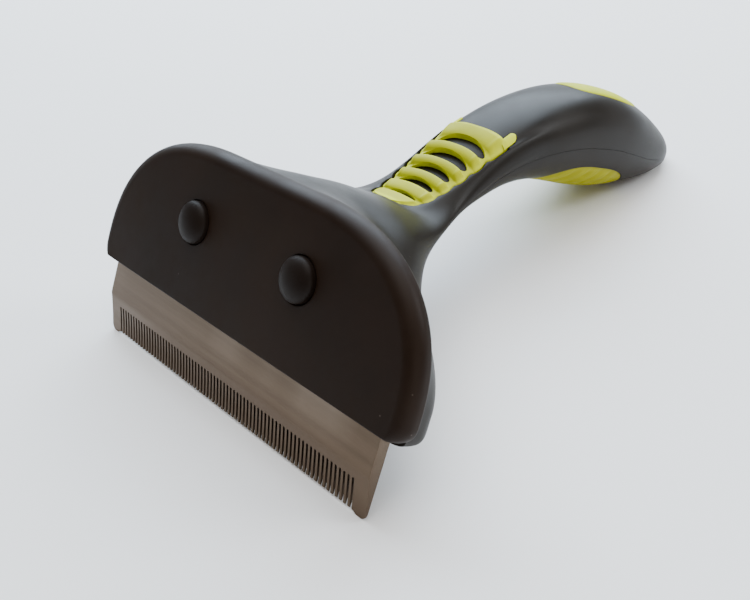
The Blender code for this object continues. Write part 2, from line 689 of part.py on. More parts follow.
def make_shells(shop, body, plastic):
    skin = loft("handle_body", body_rings(body))
    upper = shop.place("handle_body", skin, plastic)
    lower = shop.place("handle_underside", skin.copy(), plastic)
    cavity = make_handle_cavity(shop, body)

    below = slab("below_parting", parting_outline(body, GAP / 2), -CUT_SIDE, CUT_SIDE, FACING_SIDE)
    combine(upper, shop.place("below_parting", below))
    keep = slab("lower_region", parting_outline(body, -GAP / 2), -CUT_SIDE, CUT_SIDE, FACING_SIDE)
    combine(lower, shop.place("lower_region", keep), "INTERSECT")
    combine(upper, make_head_cavity(shop, body))
    combine(upper, cavity)
    combine(lower, cavity)

    # Head: pockets for the cover's bosses and holes for the inserts, pins for the blade
    for label, radius, low, high in (("sockets", CLAMP_BOSS + GAP, -1, CLAMP_BOSS_END + GAP),
                                     ("insert_holes", INSERT_RADIUS + GAP, 0, INSERT_END + 2)):
        cutters = [(radius, low, high, along_y(side * CLAMP_X, CLAMP_Z)) for side in (-1, 1)]
        combine(upper, shop.place(label, rods(label, cutters)))
    pins = [(PIN_RADIUS, PIN_TIP, PIN_ROOT, along_y(side * PIN_X, PIN_Z)) for side in (-1, 1)]
    combine(upper, shop.place("blade_pins", rods("blade_pins", pins, 12)), "UNION")
    return upper, lower


def make_pads(shop, body, upper, lower, lime, dark_lime):
    thumb = pad_rings(body, 0, thumb_spans(body, 0.0), -PAD_DEPTH, lambda rise, t: rise)
    grip = shop.place("thumb_grip", loft("thumb_grip", thumb), lime)
    recess = pad_rings(body, 0, thumb_spans(body, GAP), -PAD_DEPTH - GAP, lambda rise, t: CUT_ABOVE)
    combine(upper, shop.place("thumb_recess", loft("thumb_recess", recess)))
    for side, label in ((-1, "left"), (1, "right")):
        span = (side * TONGUE_INNER, side * TONGUE_OUTER)
        tongue = side_patch(body, THUMB_REAR - TONGUE_ROOT, TONGUE_REAR, *span, -TONGUE_DEPTH, TONGUE_PROUD)
        combine(grip, shop.place(label + "_tongue", loft(label + "_tongue", tongue)), "UNION")
        span = (side * (TONGUE_INNER - GAP), side * (TONGUE_OUTER + GAP))
        slot = side_patch(body, THUMB_REAR - TONGUE_ROOT, TONGUE_REAR + GAP, *span, -TONGUE_DEPTH - GAP, CUT_ABOVE)
        combine(upper, shop.place(label + "_tongue_slot", loft(label + "_tongue_slot", slot)))
    for index, (middle, length, half_width) in enumerate(THUMB_SLOTS):
        name = "rib_slot_%d" % index
        combine(grip, shop.place(name, loft(name, slot_rings(body, middle, length, half_width))))

    heel = pad_rings(body, 0, heel_spans(body, 0.0), -PAD_DEPTH, lambda rise, t: rise)
    shop.place("heel_pad", loft("heel_pad", heel), lime)
    recess = pad_rings(body, 0, heel_spans(body, GAP), -PAD_DEPTH - GAP, lambda rise, t: CUT_ABOVE)
    combine(upper, shop.place("heel_recess", loft("heel_recess", recess)))

    palm = pad_rings(body, 2, palm_spans(0.0), -PAD_DEPTH, lambda rise, t: rise * (1 - t * t), across=10)
    shop.place("palm_pad", loft("palm_pad", palm), dark_lime)
    recess = pad_rings(body, 2, palm_spans(GAP), -PAD_DEPTH - GAP, lambda rise, t: CUT_ABOVE, across=10)
    combine(lower, shop.place("palm_recess", loft("palm_recess", recess)))


def make_shell_screws(shop, body, upper, lower, steel):
    """Three screws whose heads lie under the soft pads and whose tips reach the other shell."""
    head_low = PAD_DEPTH + GAP + 0.3
    head_high = head_low + SHELL_SCREW_HEAD_HEIGHT
    for name, matrix in shell_screws(body):
        holder, far = (upper, lower) if name == "neck_screw" else (lower, upper)
        length = NECK_SCREW_LENGTH if name == "neck_screw" else PALM_SCREW_LENGTH
        seat = rods(name + "_seat", [(SHELL_SCREW_HEAD + GAP, CUT_FRONT, head_high + GAP, matrix)])
        combine(holder, shop.place(name + "_seat", seat))
        hole = shop.place(name + "_hole", rods(name + "_hole", [(SCREW_HOLE, 0, length + GAP, matrix)]))
        combine(holder, hole)
        combine(far, hole)
        screw = rods(name, [(SHELL_SCREW_HEAD, head_low, head_high, matrix)])
        screw = shop.place(name, screw, steel)
        shaft = rods(name + "_shaft", [(SCREW_SHAFT, head_high - 0.5, length, matrix)])
        combine(screw, shop.place(name + "_shaft", shaft), "UNION")
        drive = rods(name + "_drive", [(DRIVE_RADIUS, CUT_FRONT, head_low + DRIVE_DEPTH, matrix)], 6)
        combine(screw, shop.place(name + "_drive", drive))


# ---------------------------------------------------------------- resting pose

def all_points(collection):
    """World positions of every vertex of the finished parts."""
    bpy.context.view_layer.update()
    graph = bpy.context.evaluated_depsgraph_get()
    points = []
    for obj in collection.objects:
        evaluated = obj.evaluated_get(graph)
        mesh = evaluated.to_mesh()
        points += [tuple(evaluated.matrix_world @ vertex.co) for vertex in mesh.vertices]
        evaluated.to_mesh_clear()
    return np.array(points)


def rest_on_floor(frame, parts):
    """Tips the tool back until its tail touches down, then centres it over the origin."""
    points = all_points(parts)
    heel = np.array((BLADE_BACK, -END_TINE_DROP)) * MM
    tail = points[points[:, 1] > 60 * MM][:, 1:3] - heel
    lean = float(np.min(np.arctan2(tail[:, 1], tail[:, 0])))
    frame.rotation_euler = (-lean, 0, 0)
    points = all_points(parts)
    low, high = points.min(axis=0), points.max(axis=0)
    frame.location = (-(low[0] + high[0]) / 2, -(low[1] + high[1]) / 2, -low[2])
    bpy.context.view_layer.update()


def main():
    clear_scene()
    parts = make_collection("deshedding_tool")
    cutters = make_collection("cutters")
    frame = bpy.data.objects.new("tool_frame", None)
    parts.objects.link(frame)
    shop = Workshop(frame, parts, cutters)

    soft_black = make_material("soft_black_plastic", (0.022, 0.019, 0.017), 0.55)
    handle_black = make_material("handle_black_plastic", (0.030, 0.030, 0.030), 0.48)
    rubber = make_material("black_rubber", (0.016, 0.014, 0.013), 0.6)
    lime = make_material("lime_rubber", (0.56, 0.68, 0.02), 0.5)
    dark_lime = make_material("dark_lime_rubber", (0.48, 0.55, 0.015), 0.5)
    stainless = make_material("brushed_stainless", (0.62, 0.58, 0.54), 0.32, 1.0)
    steel = make_material("zinc_plated_steel", (0.6, 0.6, 0.6), 0.35, 1.0)
    brass = make_material("brass", (0.78, 0.57, 0.22), 0.3, 1.0)

    make_blade(shop, stainless)
    make_cover(shop, soft_black)
    make_clamps(shop, rubber, steel, brass)
    body = Body(STATIONS)
    upper, lower = make_shells(shop, body, handle_black)
    make_pads(shop, body, upper, lower, lime, dark_lime)
    make_shell_screws(shop, body, upper, lower, steel)
    parts.objects.unlink(frame)
    bpy.context.scene.collection.objects.link(frame)
    rest_on_floor(frame, parts)


main()
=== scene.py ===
"""The looks of a deshedding tool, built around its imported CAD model.

Shapes are worked out in the tool's design frame, in millimetres: the origin is the middle of
the comb's tips, X runs along the comb, Y back towards the tail of the handle and Z up along
the flat front of the head. TOOL takes them to the row frame, in metres, at the resting pose.
"""

import json
import math

import bmesh
import bpy
import numpy as np
from mathutils import Matrix, Vector


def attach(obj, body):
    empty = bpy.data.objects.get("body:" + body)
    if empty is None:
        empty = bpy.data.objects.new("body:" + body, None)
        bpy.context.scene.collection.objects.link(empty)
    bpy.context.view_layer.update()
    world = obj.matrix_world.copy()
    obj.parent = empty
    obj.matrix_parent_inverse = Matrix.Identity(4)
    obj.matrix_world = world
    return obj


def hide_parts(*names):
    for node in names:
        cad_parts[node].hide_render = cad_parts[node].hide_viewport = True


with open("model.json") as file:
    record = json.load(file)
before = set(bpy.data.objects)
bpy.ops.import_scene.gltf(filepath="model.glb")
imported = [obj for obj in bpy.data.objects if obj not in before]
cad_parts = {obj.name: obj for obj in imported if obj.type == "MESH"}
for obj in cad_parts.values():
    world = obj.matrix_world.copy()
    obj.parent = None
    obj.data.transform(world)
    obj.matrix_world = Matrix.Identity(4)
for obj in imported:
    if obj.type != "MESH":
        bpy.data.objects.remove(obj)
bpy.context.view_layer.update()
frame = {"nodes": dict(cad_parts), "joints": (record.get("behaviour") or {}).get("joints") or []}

MM = 0.001
SIDES = (-1, 1)                 # left and right, as the sign of x
WELD = 0.0005                   # closer points of a filled outline are one point

# Blade
BLADE_HALF_WIDTH = 50.0
BLADE_FRONT = -2.8
BLADE_BACK = 0.2
BLADE_TOP = 44.0
BLADE_CREASE = 9.8              # the front bevel runs from here down to the tips
BLADE_EDGE = 0.35               # thickness at the tips
BLADE_SHOULDER = 31.0
BLADE_CORNER = 10.0
SLOT_COUNT = 71
SLOT_PITCH = 1.3
SLOT_WIDTH = 0.65
SLOT_TOP = 7.2
TIP_CHAMFER = (0.08, 0.12)      # across and up, beside each slot
BEVEL_HOLLOW = 0.12             # how far the bevel curves in
END_TINE_DROP = 0.5
END_TINE_CORNER = 1.5
END_TINE_RISE = (1.5, 1.3)      # its end rises to the tips: start before the slot, length
PROFILE_SPARE = 0.5             # the side profile runs on this far below the end tines

# Front cover
COVER_FRONT = -4.95
COVER_BACK = 0.2
COVER_BOTTOM = 18.4
COVER_FLAT = 15.0               # half length of the straight part on top
COVER_WAIST = 22.6              # height at which it is widest
COVER_REACH = 41.0
COVER_RISE = 33.565
COVER_POWER = 2.4
COVER_CORNER = 4.0
COVER_CORNER_LEAST = 0.5
RIM_FRONT = 3.5
RIM_BACK = 1.0
RIM_BOTTOM = 0.8
POCKET_FRONT = -3.1
CLEARANCE = 0.3                 # around the blade, bosses, pins, plugs and screw tips

# Clamp screws and the plugs over them
CLAMP_X = 19.1
CLAMP_Z = 38.5
CLAMP_BOSS = 4.7
CLAMP_BOSS_END = 1.45
CLAMP_BORE = 3.4
CLAMP_FLOOR = 0.25
HEAD_BOSS = 7.2
INSERT_HOLE = 2.9
INSERT_END = 10.0
PLUG_RADIUS = 5.0
PLUG_SEAT = 1.0
PLUG_PROUD = 2.6
PLUG_WALL = 0.5
PLUG_CHAMFER = 0.15
PLUG_DOME_POWER = 0.9
PLUG_GAP = 0.22
SEAT_LIP = 0.3                  # radius of the edge of a plug's seat
SHANK_RADIUS = 3.1
SHANK_END = -2.75
SHANK_ROUNDING = ((0.4, 0.0), (0.1, 0.12), (0.0, 0.4))  # in from the radius, out from the end
SCREW_HOLE = 1.8
PIN_X = 37.0
PIN_Z = 31.0
PIN_RADIUS = 1.8
PIN_TIP = -2.3
PIN_ROOT = 3.0
PIN_BOSS = 4.3

# Skin of the head and handle: one row a station, front to tail, as
# top y, top z, bottom y, bottom z, half width, waist height, power above, power below
STATIONS = np.array([
    (0.5, 55.8, 0.5, 16.2, 53.4, 0.15, 2.7, 10.0),
    (4.5, 56.1, 4.5, 15.6, 53.0, 0.16, 2.05, 10.0),
    (8.2, 56.3, 8.8, 16.0, 51.2, 0.18, 1.75, 8.0),
    (12.0, 56.2, 12.8, 19.8, 44.0, 0.20, 1.7, 4.5),
    (17.0, 55.9, 18.0, 28.3, 34.2, 0.28, 1.8, 3.0),
    (23.0, 55.4, 25.0, 37.0, 26.2, 0.38, 1.95, 2.6),
    (30.0, 54.5, 33.5, 44.2, 20.4, 0.42, 1.9, 2.4),
    (37.2, 54.8, 42.2, 49.8, 16.2, 0.42, 1.8, 2.3),
    (44.0, 59.5, 50.4, 54.2, 13.4, 0.45, 2.0, 2.3),
    (50.6, 65.8, 58.5, 58.0, 12.4, 0.48, 2.35, 2.3),
    (58.8, 73.7, 66.2, 61.4, 12.4, 0.50, 2.6, 2.3),
    (67.6, 80.7, 74.0, 63.9, 13.0, 0.50, 2.5, 2.3),
    (79.0, 87.4, 83.0, 65.6, 14.0, 0.50, 2.3, 2.3),
    (92.5, 92.5, 93.5, 66.6, 15.0, 0.50, 2.3, 2.3),
    (107.0, 94.9, 106.5, 67.2, 16.0, 0.50, 2.3, 2.3),
    (119.5, 94.5, 118.5, 68.8, 16.2, 0.48, 2.3, 2.3),
    (130.0, 92.3, 129.0, 72.2, 15.5, 0.42, 2.3, 2.4),
    (138.0, 89.4, 137.2, 76.64, 13.6, 0.37, 2.3, 2.5),
    (143.5, 86.8, 142.8, 80.1, 10.3, 0.33, 2.2, 2.5),
    (146.3, 85.0, 146.1, 82.5, 6.2, 0.30, 2.1, 2.4),
    (147.19, 84.1, 147.29, 83.2, 3.0, 0.28, 2.0, 2.4),
])
RINGS_BETWEEN_STATIONS = 8
POINTS_AROUND = 144

# Hollows of the head and the handle
WALL = 3.0
WALL_DEEP = 5.0
WALL_DEEPENS = (20.0, 34.0)     # from WALL to WALL_DEEP, above and below, between these y
HEAD_CAVITY = (0.4, 5.6, 22)    # first and last station and number of sections
HANDLE_CAVITY = (9.8, 16.4, 20)  # the thin neck between them is solid
CAVITY_MOUTH = -2.0
KEPT_FROM, KEPT_TO = -3.0, 40.0  # bosses are left standing between these places on their axes

# Parting line of the two shells
SEAM = 0.06                     # width of the line between the shells
PARTING_FIRST = 8.35
PARTING_RISE = 1.2
PARTING_HEIGHT = 0.46
PARTING_TAIL = 0.26
PARTING_FALL = 14.0             # station number from which it drops to the tail
PARTING_BEYOND = 12.0           # it runs on straight past the end of the tail
PARTING_CLOSED = 20.0           # height at which the region below it is closed
PARTING_START = (3.3, 7.0)      # how far forward and down the line starts outside the skin

# Raised rim of the shell on each side of the thumb grip
RIM_HEIGHT = 0.45
RIM_FADE = (31.0, 37.0, 64.0, 77.0)
RIM_INNER = (-0.7, 0.3)         # it rises between these distances from the grip's edge
RIM_SPREAD = 2.4
RIM_WIDENING = 0.1

# Thumb grip: louvre-like ribs between two rails, parted by slots; two short tails at the rear
THUMB_FRONT, THUMB_REAR = 33.7, 61.2
THUMB_HALF_WIDTH = 10.8
THUMB_TAPER = 0.21
# Slots as middle y, length and half width
THUMB_SLOTS = ((39.3, 1.2, 5.0), (43.5, 1.7, 5.9), (47.4, 2.0, 6.9), (51.5, 2.3, 7.9),
               (56.0, 2.7, 8.7))
THUMB_SLOT_SHAPE = (0.05, 0.62, 0.45)  # shares of the length: rear edge at its ends, arch, front
THUMB_SLOT_CUT = (-2.5, 6.0)
THUMB_DEPTH = 1.0
THUMB_GAP = 0.16
RIB_HEIGHTS = (0.75, 0.95, 1.05, 1.15, 1.2, 1.1)
RIB_FACE = 0.8                  # share of a rib's length over which it rises
RIB_FALL = (0.86, 0.22)         # from this share of the length it falls again, by this share
LAST_RIB_FALL = (0.72, 0.55)
RIB_BLEND = 0.12                # share of the length over which a rib runs out into a slot
RIB_CROWN = (0.72, 0.93)        # the crown ends between these shares of the half width
RIB_TOE = (0.66, 0.8, 0.28)     # shares between which the toe rises, and its height
FRONT_LIP = (0.7, 0.6, 0.45)    # distance from the front, spread and height
RAIL_HEIGHT = -0.25
SCALLOP = 0.55
SCALLOP_SPREAD = 0.9
EDGE_ROLL = (0.7, 0.5)          # width and drop of the rounded outer edge
REAR_HEIGHT = 0.22
REAR_BOW = 0.006                # the rear edge bows back by this times the square of x
REAR_BOW_LENGTH = 3.0
LEAST_HALF_WIDTH = 0.2
PALE_SHARE = 0.75
PALE_SIDE = (0.74, 0.95)        # the sides turn pale between these shares of the half width
PALE_REAR = (-0.2, 0.8)
PALE_LIP = (0.3, 0.9)           # distance from the front and spread
# spread of the painted highlight, a thin pale line along the rear top edge of each rib
RIB_EDGE_HIGHLIGHT_SPREAD = 0.28
TAIL_INNER, TAIL_OUTER, TAIL_REAR = 8.3, 10.5, 64.8
TAIL_OVERLAP = 0.5
TAIL_HEIGHT, TAIL_CROWN = 0.16, 0.22
TAIL_LIFT = 0.12                # its underside stands this much above that of the grip
TAIL_RECESS_LIFT = 0.05

# Pads of the tail
PAD_DEPTH = 2.0
PAD_GAP = 0.14
HEEL_FRONT, HEEL_REAR = 94.0, 124.0
HEEL_HALF_WIDTH = 10.8
HEEL_TAPER = 0.25
HEEL_PROUD = 0.35
HEEL_ENDS = (0.12, 0.2)         # angles left off at its two ends
HEEL_EDGE = 0.35
PALM_FRONT, PALM_REAR = 81.0, 122.5
PALM_WRAP = math.radians(63)
PALM_PROUD = 0.9
PALM_ENDS = (0.02, 0.98)
PALM_RADIUS = 14.0
PALM_EDGE = 0.3
PALM_RIB_PITCH = 5.6
PALM_RIB_SWEEP = 0.85
PALM_RIB_WAVER = (0.16, 4.0)    # share of the pitch, and y of one radian
PALM_RIB_CREST = 0.35           # the wave is cut flat above this
PALM_RIB_FADE = 0.3             # the ribs fade out where the pad rises less than this
PALM_GROOVE = 0.42

# Screws that join the shells: y of each and distance from the skin to the tip
PALM_SCREWS = (87.0, 107.0)
NECK_SCREW_Y = 53.8
NECK_SCREW_LENGTH = 10.6
PALM_SCREW_LENGTH = 17.0
SCREW_HEAD_POCKET = (2.3, 4.5)
SCREW_HEAD_RADIUS = 3.1
SHELL_BOSS = 4.4

# Where cutters end: y before and behind the blade, x at the sides, height over the skin
CUT_FRONT, CUT_BACK = -6.0, 4.0
CUT_SIDE = 70.0
CUT_ABOVE = 4.0


# ------------------------ from the design frame to the row

def resting_pose():
    """Matrix from the design frame, in millimetres, to the row frame, in metres."""
    front = Vector(frame["joints"][0]["axis"]).normalized()
    across, back = Vector((1, 0, 0)), -front
    turn = Matrix((across, back, across.cross(back))).transposed()
    blade = np.array([vertex.co for vertex in frame["nodes"]["blade"].data.vertices])
    local = blade @ np.array(turn)
    corner = Vector((0, local[:, 1].max() - BLADE_BACK * MM, local[:, 2].min() + END_TINE_DROP * MM))
    return Matrix.Translation(turn @ corner) @ turn.to_4x4() @ Matrix.Scale(MM, 4)


TOOL = resting_pose()


# ------------------------ mesh helpers

def add_object(name, data):
    obj = bpy.data.objects.new(name, data)
    bpy.context.scene.collection.objects.link(obj)
    return obj


def make_object(name, bm):
    bmesh.ops.recalc_face_normals(bm, faces=bm.faces)
    mesh = bpy.data.meshes.new(name)
    bm.to_mesh(mesh)
    bm.free()
    return add_object(name, mesh)


def evaluated_mesh(obj):
    bpy.context.view_layer.update()
    return bpy.data.meshes.new_from_object(obj.evaluated_get(bpy.context.evaluated_depsgraph_get()))


def bridge(bm, rings):
    """Faces between rings of equally many vertices."""
    count = len(rings[0])
    for near, far in zip(rings, rings[1:]):
        for i in range(count):
            j = (i + 1) % count
            bm.faces.new((near[i], near[j], far[j], far[i]))


def fan(bm, point, ring):
    """Triangles from a new vertex at the point to a ring."""
    middle = bm.verts.new(point)
    for i in range(len(ring)):
        bm.faces.new((middle, ring[i], ring[(i + 1) % len(ring)]))


def loft(name, rings, fans=False):
    """Closed body through rings of equally many points; its ends are flat caps or fans."""
    bm = bmesh.new()
    rows = [[bm.verts.new(point) for point in ring] for ring in rings]
    bridge(bm, rows)
    for row in (rows[0], rows[-1]):
        if fans:
            fan(bm, sum((v.co for v in row), Vector()) / len(row), row)
        else:
            bm.faces.new(row)
    return make_object(name, bm)


# (u, v, depth) of an outline becomes (x, z, y): drawn as seen from the front
FACING_FRONT = Matrix(((1, 0, 0, 0), (0, 0, 1, 0), (0, 1, 0, 0), (0, 0, 0, 1)))
# (u, v, depth) of an outline becomes (y, z, x): drawn as seen from the side
FACING_SIDE = Matrix(((0, 0, 1, 0), (1, 0, 0, 0), (0, 1, 0, 0), (0, 0, 0, 1)))


def slab(name, outline, low, high, turn):
    """Extrudes a flat outline as a filled 2D curve and turns it into the design frame."""
    curve = bpy.data.curves.new(name, "CURVE")
    curve.dimensions = "2D"
    curve.fill_mode = "BOTH"
    curve.extrude = (high - low) / 2
    path = curve.splines.new("POLY")
    path.points.add(len(outline) - 1)
    for point, (u, v) in zip(path.points, outline):
        point.co = (u, v, 0, 1)
    path.use_cyclic_u = True
    source = add_object(name, curve)
    flat = evaluated_mesh(source)
    bpy.data.objects.remove(source, do_unlink=True)
    bm = bmesh.new()
    bm.from_mesh(flat)
    bpy.data.meshes.remove(flat)
    bmesh.ops.remove_doubles(bm, verts=bm.verts, dist=WELD)
    bmesh.ops.translate(bm, vec=(0, 0, (low + high) / 2), verts=bm.verts)
    bmesh.ops.transform(bm, matrix=turn, verts=bm.verts)
    return make_object(name, bm)


def turned(name, profile, matrix, segments=64):
    """Turns a profile of (radius, height) about the matrix's Z axis; it starts and ends on it."""
    angles = [2 * math.pi * k / segments for k in range(segments)]
    bm = bmesh.new()
    rings = [[bm.verts.new((r * math.cos(a), r * math.sin(a), h)) for a in angles]
             for r, h in profile[1:-1]]
    bridge(bm, rings)
    for (_, height), ring in ((profile[0], rings[0]), (profile[-1], rings[-1])):
        fan(bm, (0, 0, height), ring)
    bmesh.ops.transform(bm, matrix=matrix, verts=bm.verts)
    return make_object(name, bm)


def rod(name, radius, low, high, matrix, segments=48):
    return turned(name, [(0, low), (radius, low), (radius, high), (0, high)], matrix, segments)


def along_y(x, z):
    """Matrix whose Z axis runs along the design frame's Y, through x and z."""
    return Matrix.Translation((x, 0, z)) @ Matrix.Rotation(-math.pi / 2, 4, "X")


def rod_pair(name, radius, low, high, x, z, segments=48):
    """Two rods along Y, at x to either side of the middle."""
    return [rod(name, radius, low, high, along_y(side * x, z), segments) for side in SIDES]


def apply_modifiers(obj):
    result = evaluated_mesh(obj)
    obj.modifiers.clear()
    obj.data = result


def carve(obj, *steps):
    """Combines obj with the other bodies in turn, keeps the result and removes those bodies."""
    for operation, others in steps:
        for other in others:
            modifier = obj.modifiers.new(other.name, "BOOLEAN")
            modifier.operation = operation
            modifier.solver = "EXACT"
            modifier.object = other
    apply_modifiers(obj)
    for _, others in steps:
        for other in others:
            bpy.data.objects.remove(other, do_unlink=True)
    return obj


def even_shading(obj):
    """Lets the large flat faces of a shaded piece decide the shading along their edges."""
    obj.modifiers.new("even", "WEIGHTED_NORMAL").keep_sharp = True
    apply_modifiers(obj)


def finish_piece(obj, material, body, nodes, attributes=None, sharp=38):
    """Moves a piece to the row frame, shades it, puts it on its body and hides the CAD nodes it stands
    for.
    """
    mesh = obj.data
    for name, function in (attributes or {}).items():
        places = np.array([vertex.co for vertex in mesh.vertices])
        mesh.attributes.new(name, "FLOAT", "POINT").data.foreach_set("value", function(places))
    mesh.transform(TOOL)
    mesh.shade_smooth()
    mesh.set_sharp_from_angle(angle=math.radians(sharp))
    mesh.materials.clear()
    mesh.materials.append(material)
    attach(obj, body)
    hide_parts(*nodes)
    return obj


# ------------------------ the skin of the head and handle

def natural_spline(knots, values, at):
    """Natural cubic spline through the values at the knots, read at the given places."""
    count = len(knots)
    step = np.diff(knots)
    system = np.eye(count)
    right = np.zeros_like(values)
    for i in range(1, count - 1):
        system[i, i - 1:i + 2] = (step[i - 1], 2 * (step[i - 1] + step[i]), step[i])
        right[i] = 6 * ((values[i + 1] - values[i]) / step[i]
                        - (values[i] - values[i - 1]) / step[i - 1])
    bend = np.linalg.solve(system, right)
    i = np.clip(np.searchsorted(knots, at) - 1, 0, count - 2)
    after, before, h = (at - knots[i])[:, None], (knots[i + 1] - at)[:, None], step[i][:, None]
    return ((bend[i] * before ** 3 + bend[i + 1] * after ** 3) / (6 * h)
            + (values[i] / h - bend[i] * h / 6) * before
            + (values[i + 1] / h - bend[i + 1] * h / 6) * after)


class Skin:
    """Outer skin of the head and handle, read at station numbers and angles, as arrays."""

    def __init__(self):
        middle = (STATIONS[:, 0:2] + STATIONS[:, 2:4]) / 2
        knots = np.concatenate(([0.0], np.cumsum(np.linalg.norm(np.diff(middle, axis=0), axis=1))))
        self.numbers = np.linspace(0, len(STATIONS) - 1, 2001)
        places = np.interp(self.numbers, np.arange(len(STATIONS)), knots)
        self.table = natural_spline(knots, STATIONS, places)

    def rows(self, numbers):
        numbers = np.atleast_1d(numbers)
        return np.stack([np.interp(numbers, self.numbers, column) for column in self.table.T], axis=1)

    def number_at(self, y, column):
        """Station number where the top (column 0) or bottom (column 2) reaches y."""
        return np.interp(y, self.table[:, column], self.numbers)

    def points(self, rows, angles, offsets=0.0):
        """Points of the skin in the sections of rows; angle 0 is +X and 90 degrees is the top."""
        rows = np.atleast_2d(rows)
        c, s = np.cos(angles), np.sin(angles)
        top, bottom = rows[:, 0:2], rows[:, 2:4]
        tall = np.linalg.norm(top - bottom, axis=1)
        up = (top - bottom) / tall[:, None]
        power = np.where(s >= 0, rows[:, 6], rows[:, 7])
        wide = rows[:, 4]
        high = tall * np.where(s >= 0, 1 - rows[:, 5], rows[:, 5])
        x = wide * np.sign(c) * np.abs(c) ** (2 / power)
        v = high * np.sign(s) * np.abs(s) ** (2 / power)
        across = np.sign(x) * np.abs(x / wide) ** (power - 1) / wide
        along = np.sign(v) * np.abs(v / high) ** (power - 1) / high
        length = np.hypot(across, along)
        x = x + offsets * across / length
        v = v + offsets * along / length
        yz = bottom + up * (tall * rows[:, 5] + v)[:, None]
        return np.column_stack((x, yz))

    def angle_at(self, rows, x):
        """Angle above the waist at which the skin is x from the middle, to either side."""
        share = np.clip(np.abs(x) / rows[:, 4], 0, 1)
        angle = np.arccos(share ** (rows[:, 6] / 2))
        return np.where(x < 0, math.pi - angle, angle)

    def over(self, x, y, offsets=0.0):
        """Points on top of the skin at x and y, moved out by the offsets."""
        x, y = np.broadcast_arrays(np.asarray(x, float), np.asarray(y, float))
        at = y.copy()
        for _ in range(8):
            rows = self.rows(self.number_at(at, 0))
            angles = self.angle_at(rows, x)
            at = at + y - self.points(rows, angles)[:, 1]
        rows = self.rows(self.number_at(at, 0))
        return self.points(rows, self.angle_at(rows, x), offsets)


SKIN = Skin()


def smooth(low, high, value):
    t = np.clip((value - low) / (high - low), 0, 1)
    return t * t * (3 - 2 * t)


def around(count):
    return 2 * math.pi * (np.arange(count) + 0.5) / count


def thumb_half_width(y):
    share = np.clip((y - THUMB_FRONT) / (THUMB_REAR - THUMB_FRONT), 0, 1)
    return THUMB_HALF_WIDTH * share ** THUMB_TAPER


def skin_relief(rows, angles):
    """Raised rim of the shell along both sides of the thumb grip, fading out behind it."""
    flat = SKIN.points(rows, angles)
    y, x = flat[:, 1], np.abs(flat[:, 0])
    edge = thumb_half_width(y) + RIM_WIDENING * np.clip(y - THUMB_REAR, 0, None)
    beyond = x - edge
    rise = smooth(*RIM_INNER, beyond) * np.exp(-(np.clip(beyond, 0, None) / RIM_SPREAD) ** 2)
    fade = smooth(RIM_FADE[0], RIM_FADE[1], y) * (1 - smooth(RIM_FADE[2], RIM_FADE[3], y))
    return np.where(np.sin(angles) > 0, RIM_HEIGHT * rise * fade, 0.0)


def body_rings():
    count = (len(STATIONS) - 1) * RINGS_BETWEEN_STATIONS + 1
    angles = around(POINTS_AROUND)
    rings = []
    for number in np.linspace(0, len(STATIONS) - 1, count):
        rows = np.repeat(SKIN.rows(number), POINTS_AROUND, axis=0)
        rings.append(SKIN.points(rows, angles, skin_relief(rows, angles)))
    return rings


def cavity_rings(first, last, count, points=48):
    """Rings of a hollow between two stations: the skin moved in, thicker above and below."""
    rings = []
    for row in SKIN.rows(np.linspace(first, last, count)):
        deep = np.interp(row[0], WALL_DEEPENS, (WALL, WALL_DEEP))
        up = (row[0:2] - row[2:4]) / np.linalg.norm(row[0:2] - row[2:4])
        inner = row.copy()
        inner[0:2] -= up * deep
        inner[2:4] += up * deep
        inner[4] -= WALL
        rings.append(SKIN.points(np.repeat(inner[None], points, axis=0), around(points)))
    return rings


# ------------------------ thumb grip

def thumb_edges():
    """Front and rear y of each rib of the thumb grip."""
    fronts = [THUMB_FRONT] + [middle + length / 2 for middle, length, _ in THUMB_SLOTS]
    rears = [middle - length / 2 for middle, length, _ in THUMB_SLOTS] + [THUMB_REAR]
    return list(zip(fronts, rears))


def thumb_reach(y):
    """Half width of the thumb grip, drawn in a little beside each slot."""
    notch = np.max([np.exp(-((y - middle) / SCALLOP_SPREAD) ** 2)
                    for middle, _, _ in THUMB_SLOTS], axis=0)
    return thumb_half_width(y) - SCALLOP * notch


def slot_outline(middle, length, half, steps=24):
    """Slot between two ribs: its rear edge is arched, its ends are round."""
    ends, arch, front = THUMB_SLOT_SHAPE
    points = []
    for k in range(steps + 1):
        x = half * math.cos(math.pi * k / steps)
        points.append((x, middle + length * (ends + arch * (1 - (x / half) ** 2) ** 0.6)))
    for k in range(1, steps):
        x = -half * math.cos(math.pi * k / steps)
        points.append((x, middle - length * front * (1 - (x / half) ** 4) ** 0.5))
    return points


def cookie(name, outline, low, high):
    """Prism through the skin over an outline of x and y, between two offsets."""
    x, y = np.array(outline).T
    return loft(name, [SKIN.over(x, y, low), SKIN.over(x, y, high)])


def rib_height(share, crest, last, side):
    """Height over the rails at a share of a rib's length; side is x as a share of the half width."""
    t = min(max(share, 0.0), 1.0)
    face = (1 - (1 - min(t / RIB_FACE, 1.0)) ** 2.2) ** 0.6
    start, drop = LAST_RIB_FALL if last else RIB_FALL
    face *= 1 - drop * float(smooth(start, 1.0, t))
    edge = float(smooth(-RIB_BLEND, 0.0, share)) * float(1 - smooth(1.0, 1 + RIB_BLEND, share))
    crown = 1 - smooth(*RIB_CROWN, side)
    low, high, tall = RIB_TOE
    toe = tall * smooth(low, high, side) * math.sin(math.pi * t) ** 0.6
    return edge * ((crest * face - RAIL_HEIGHT) * crown + toe)


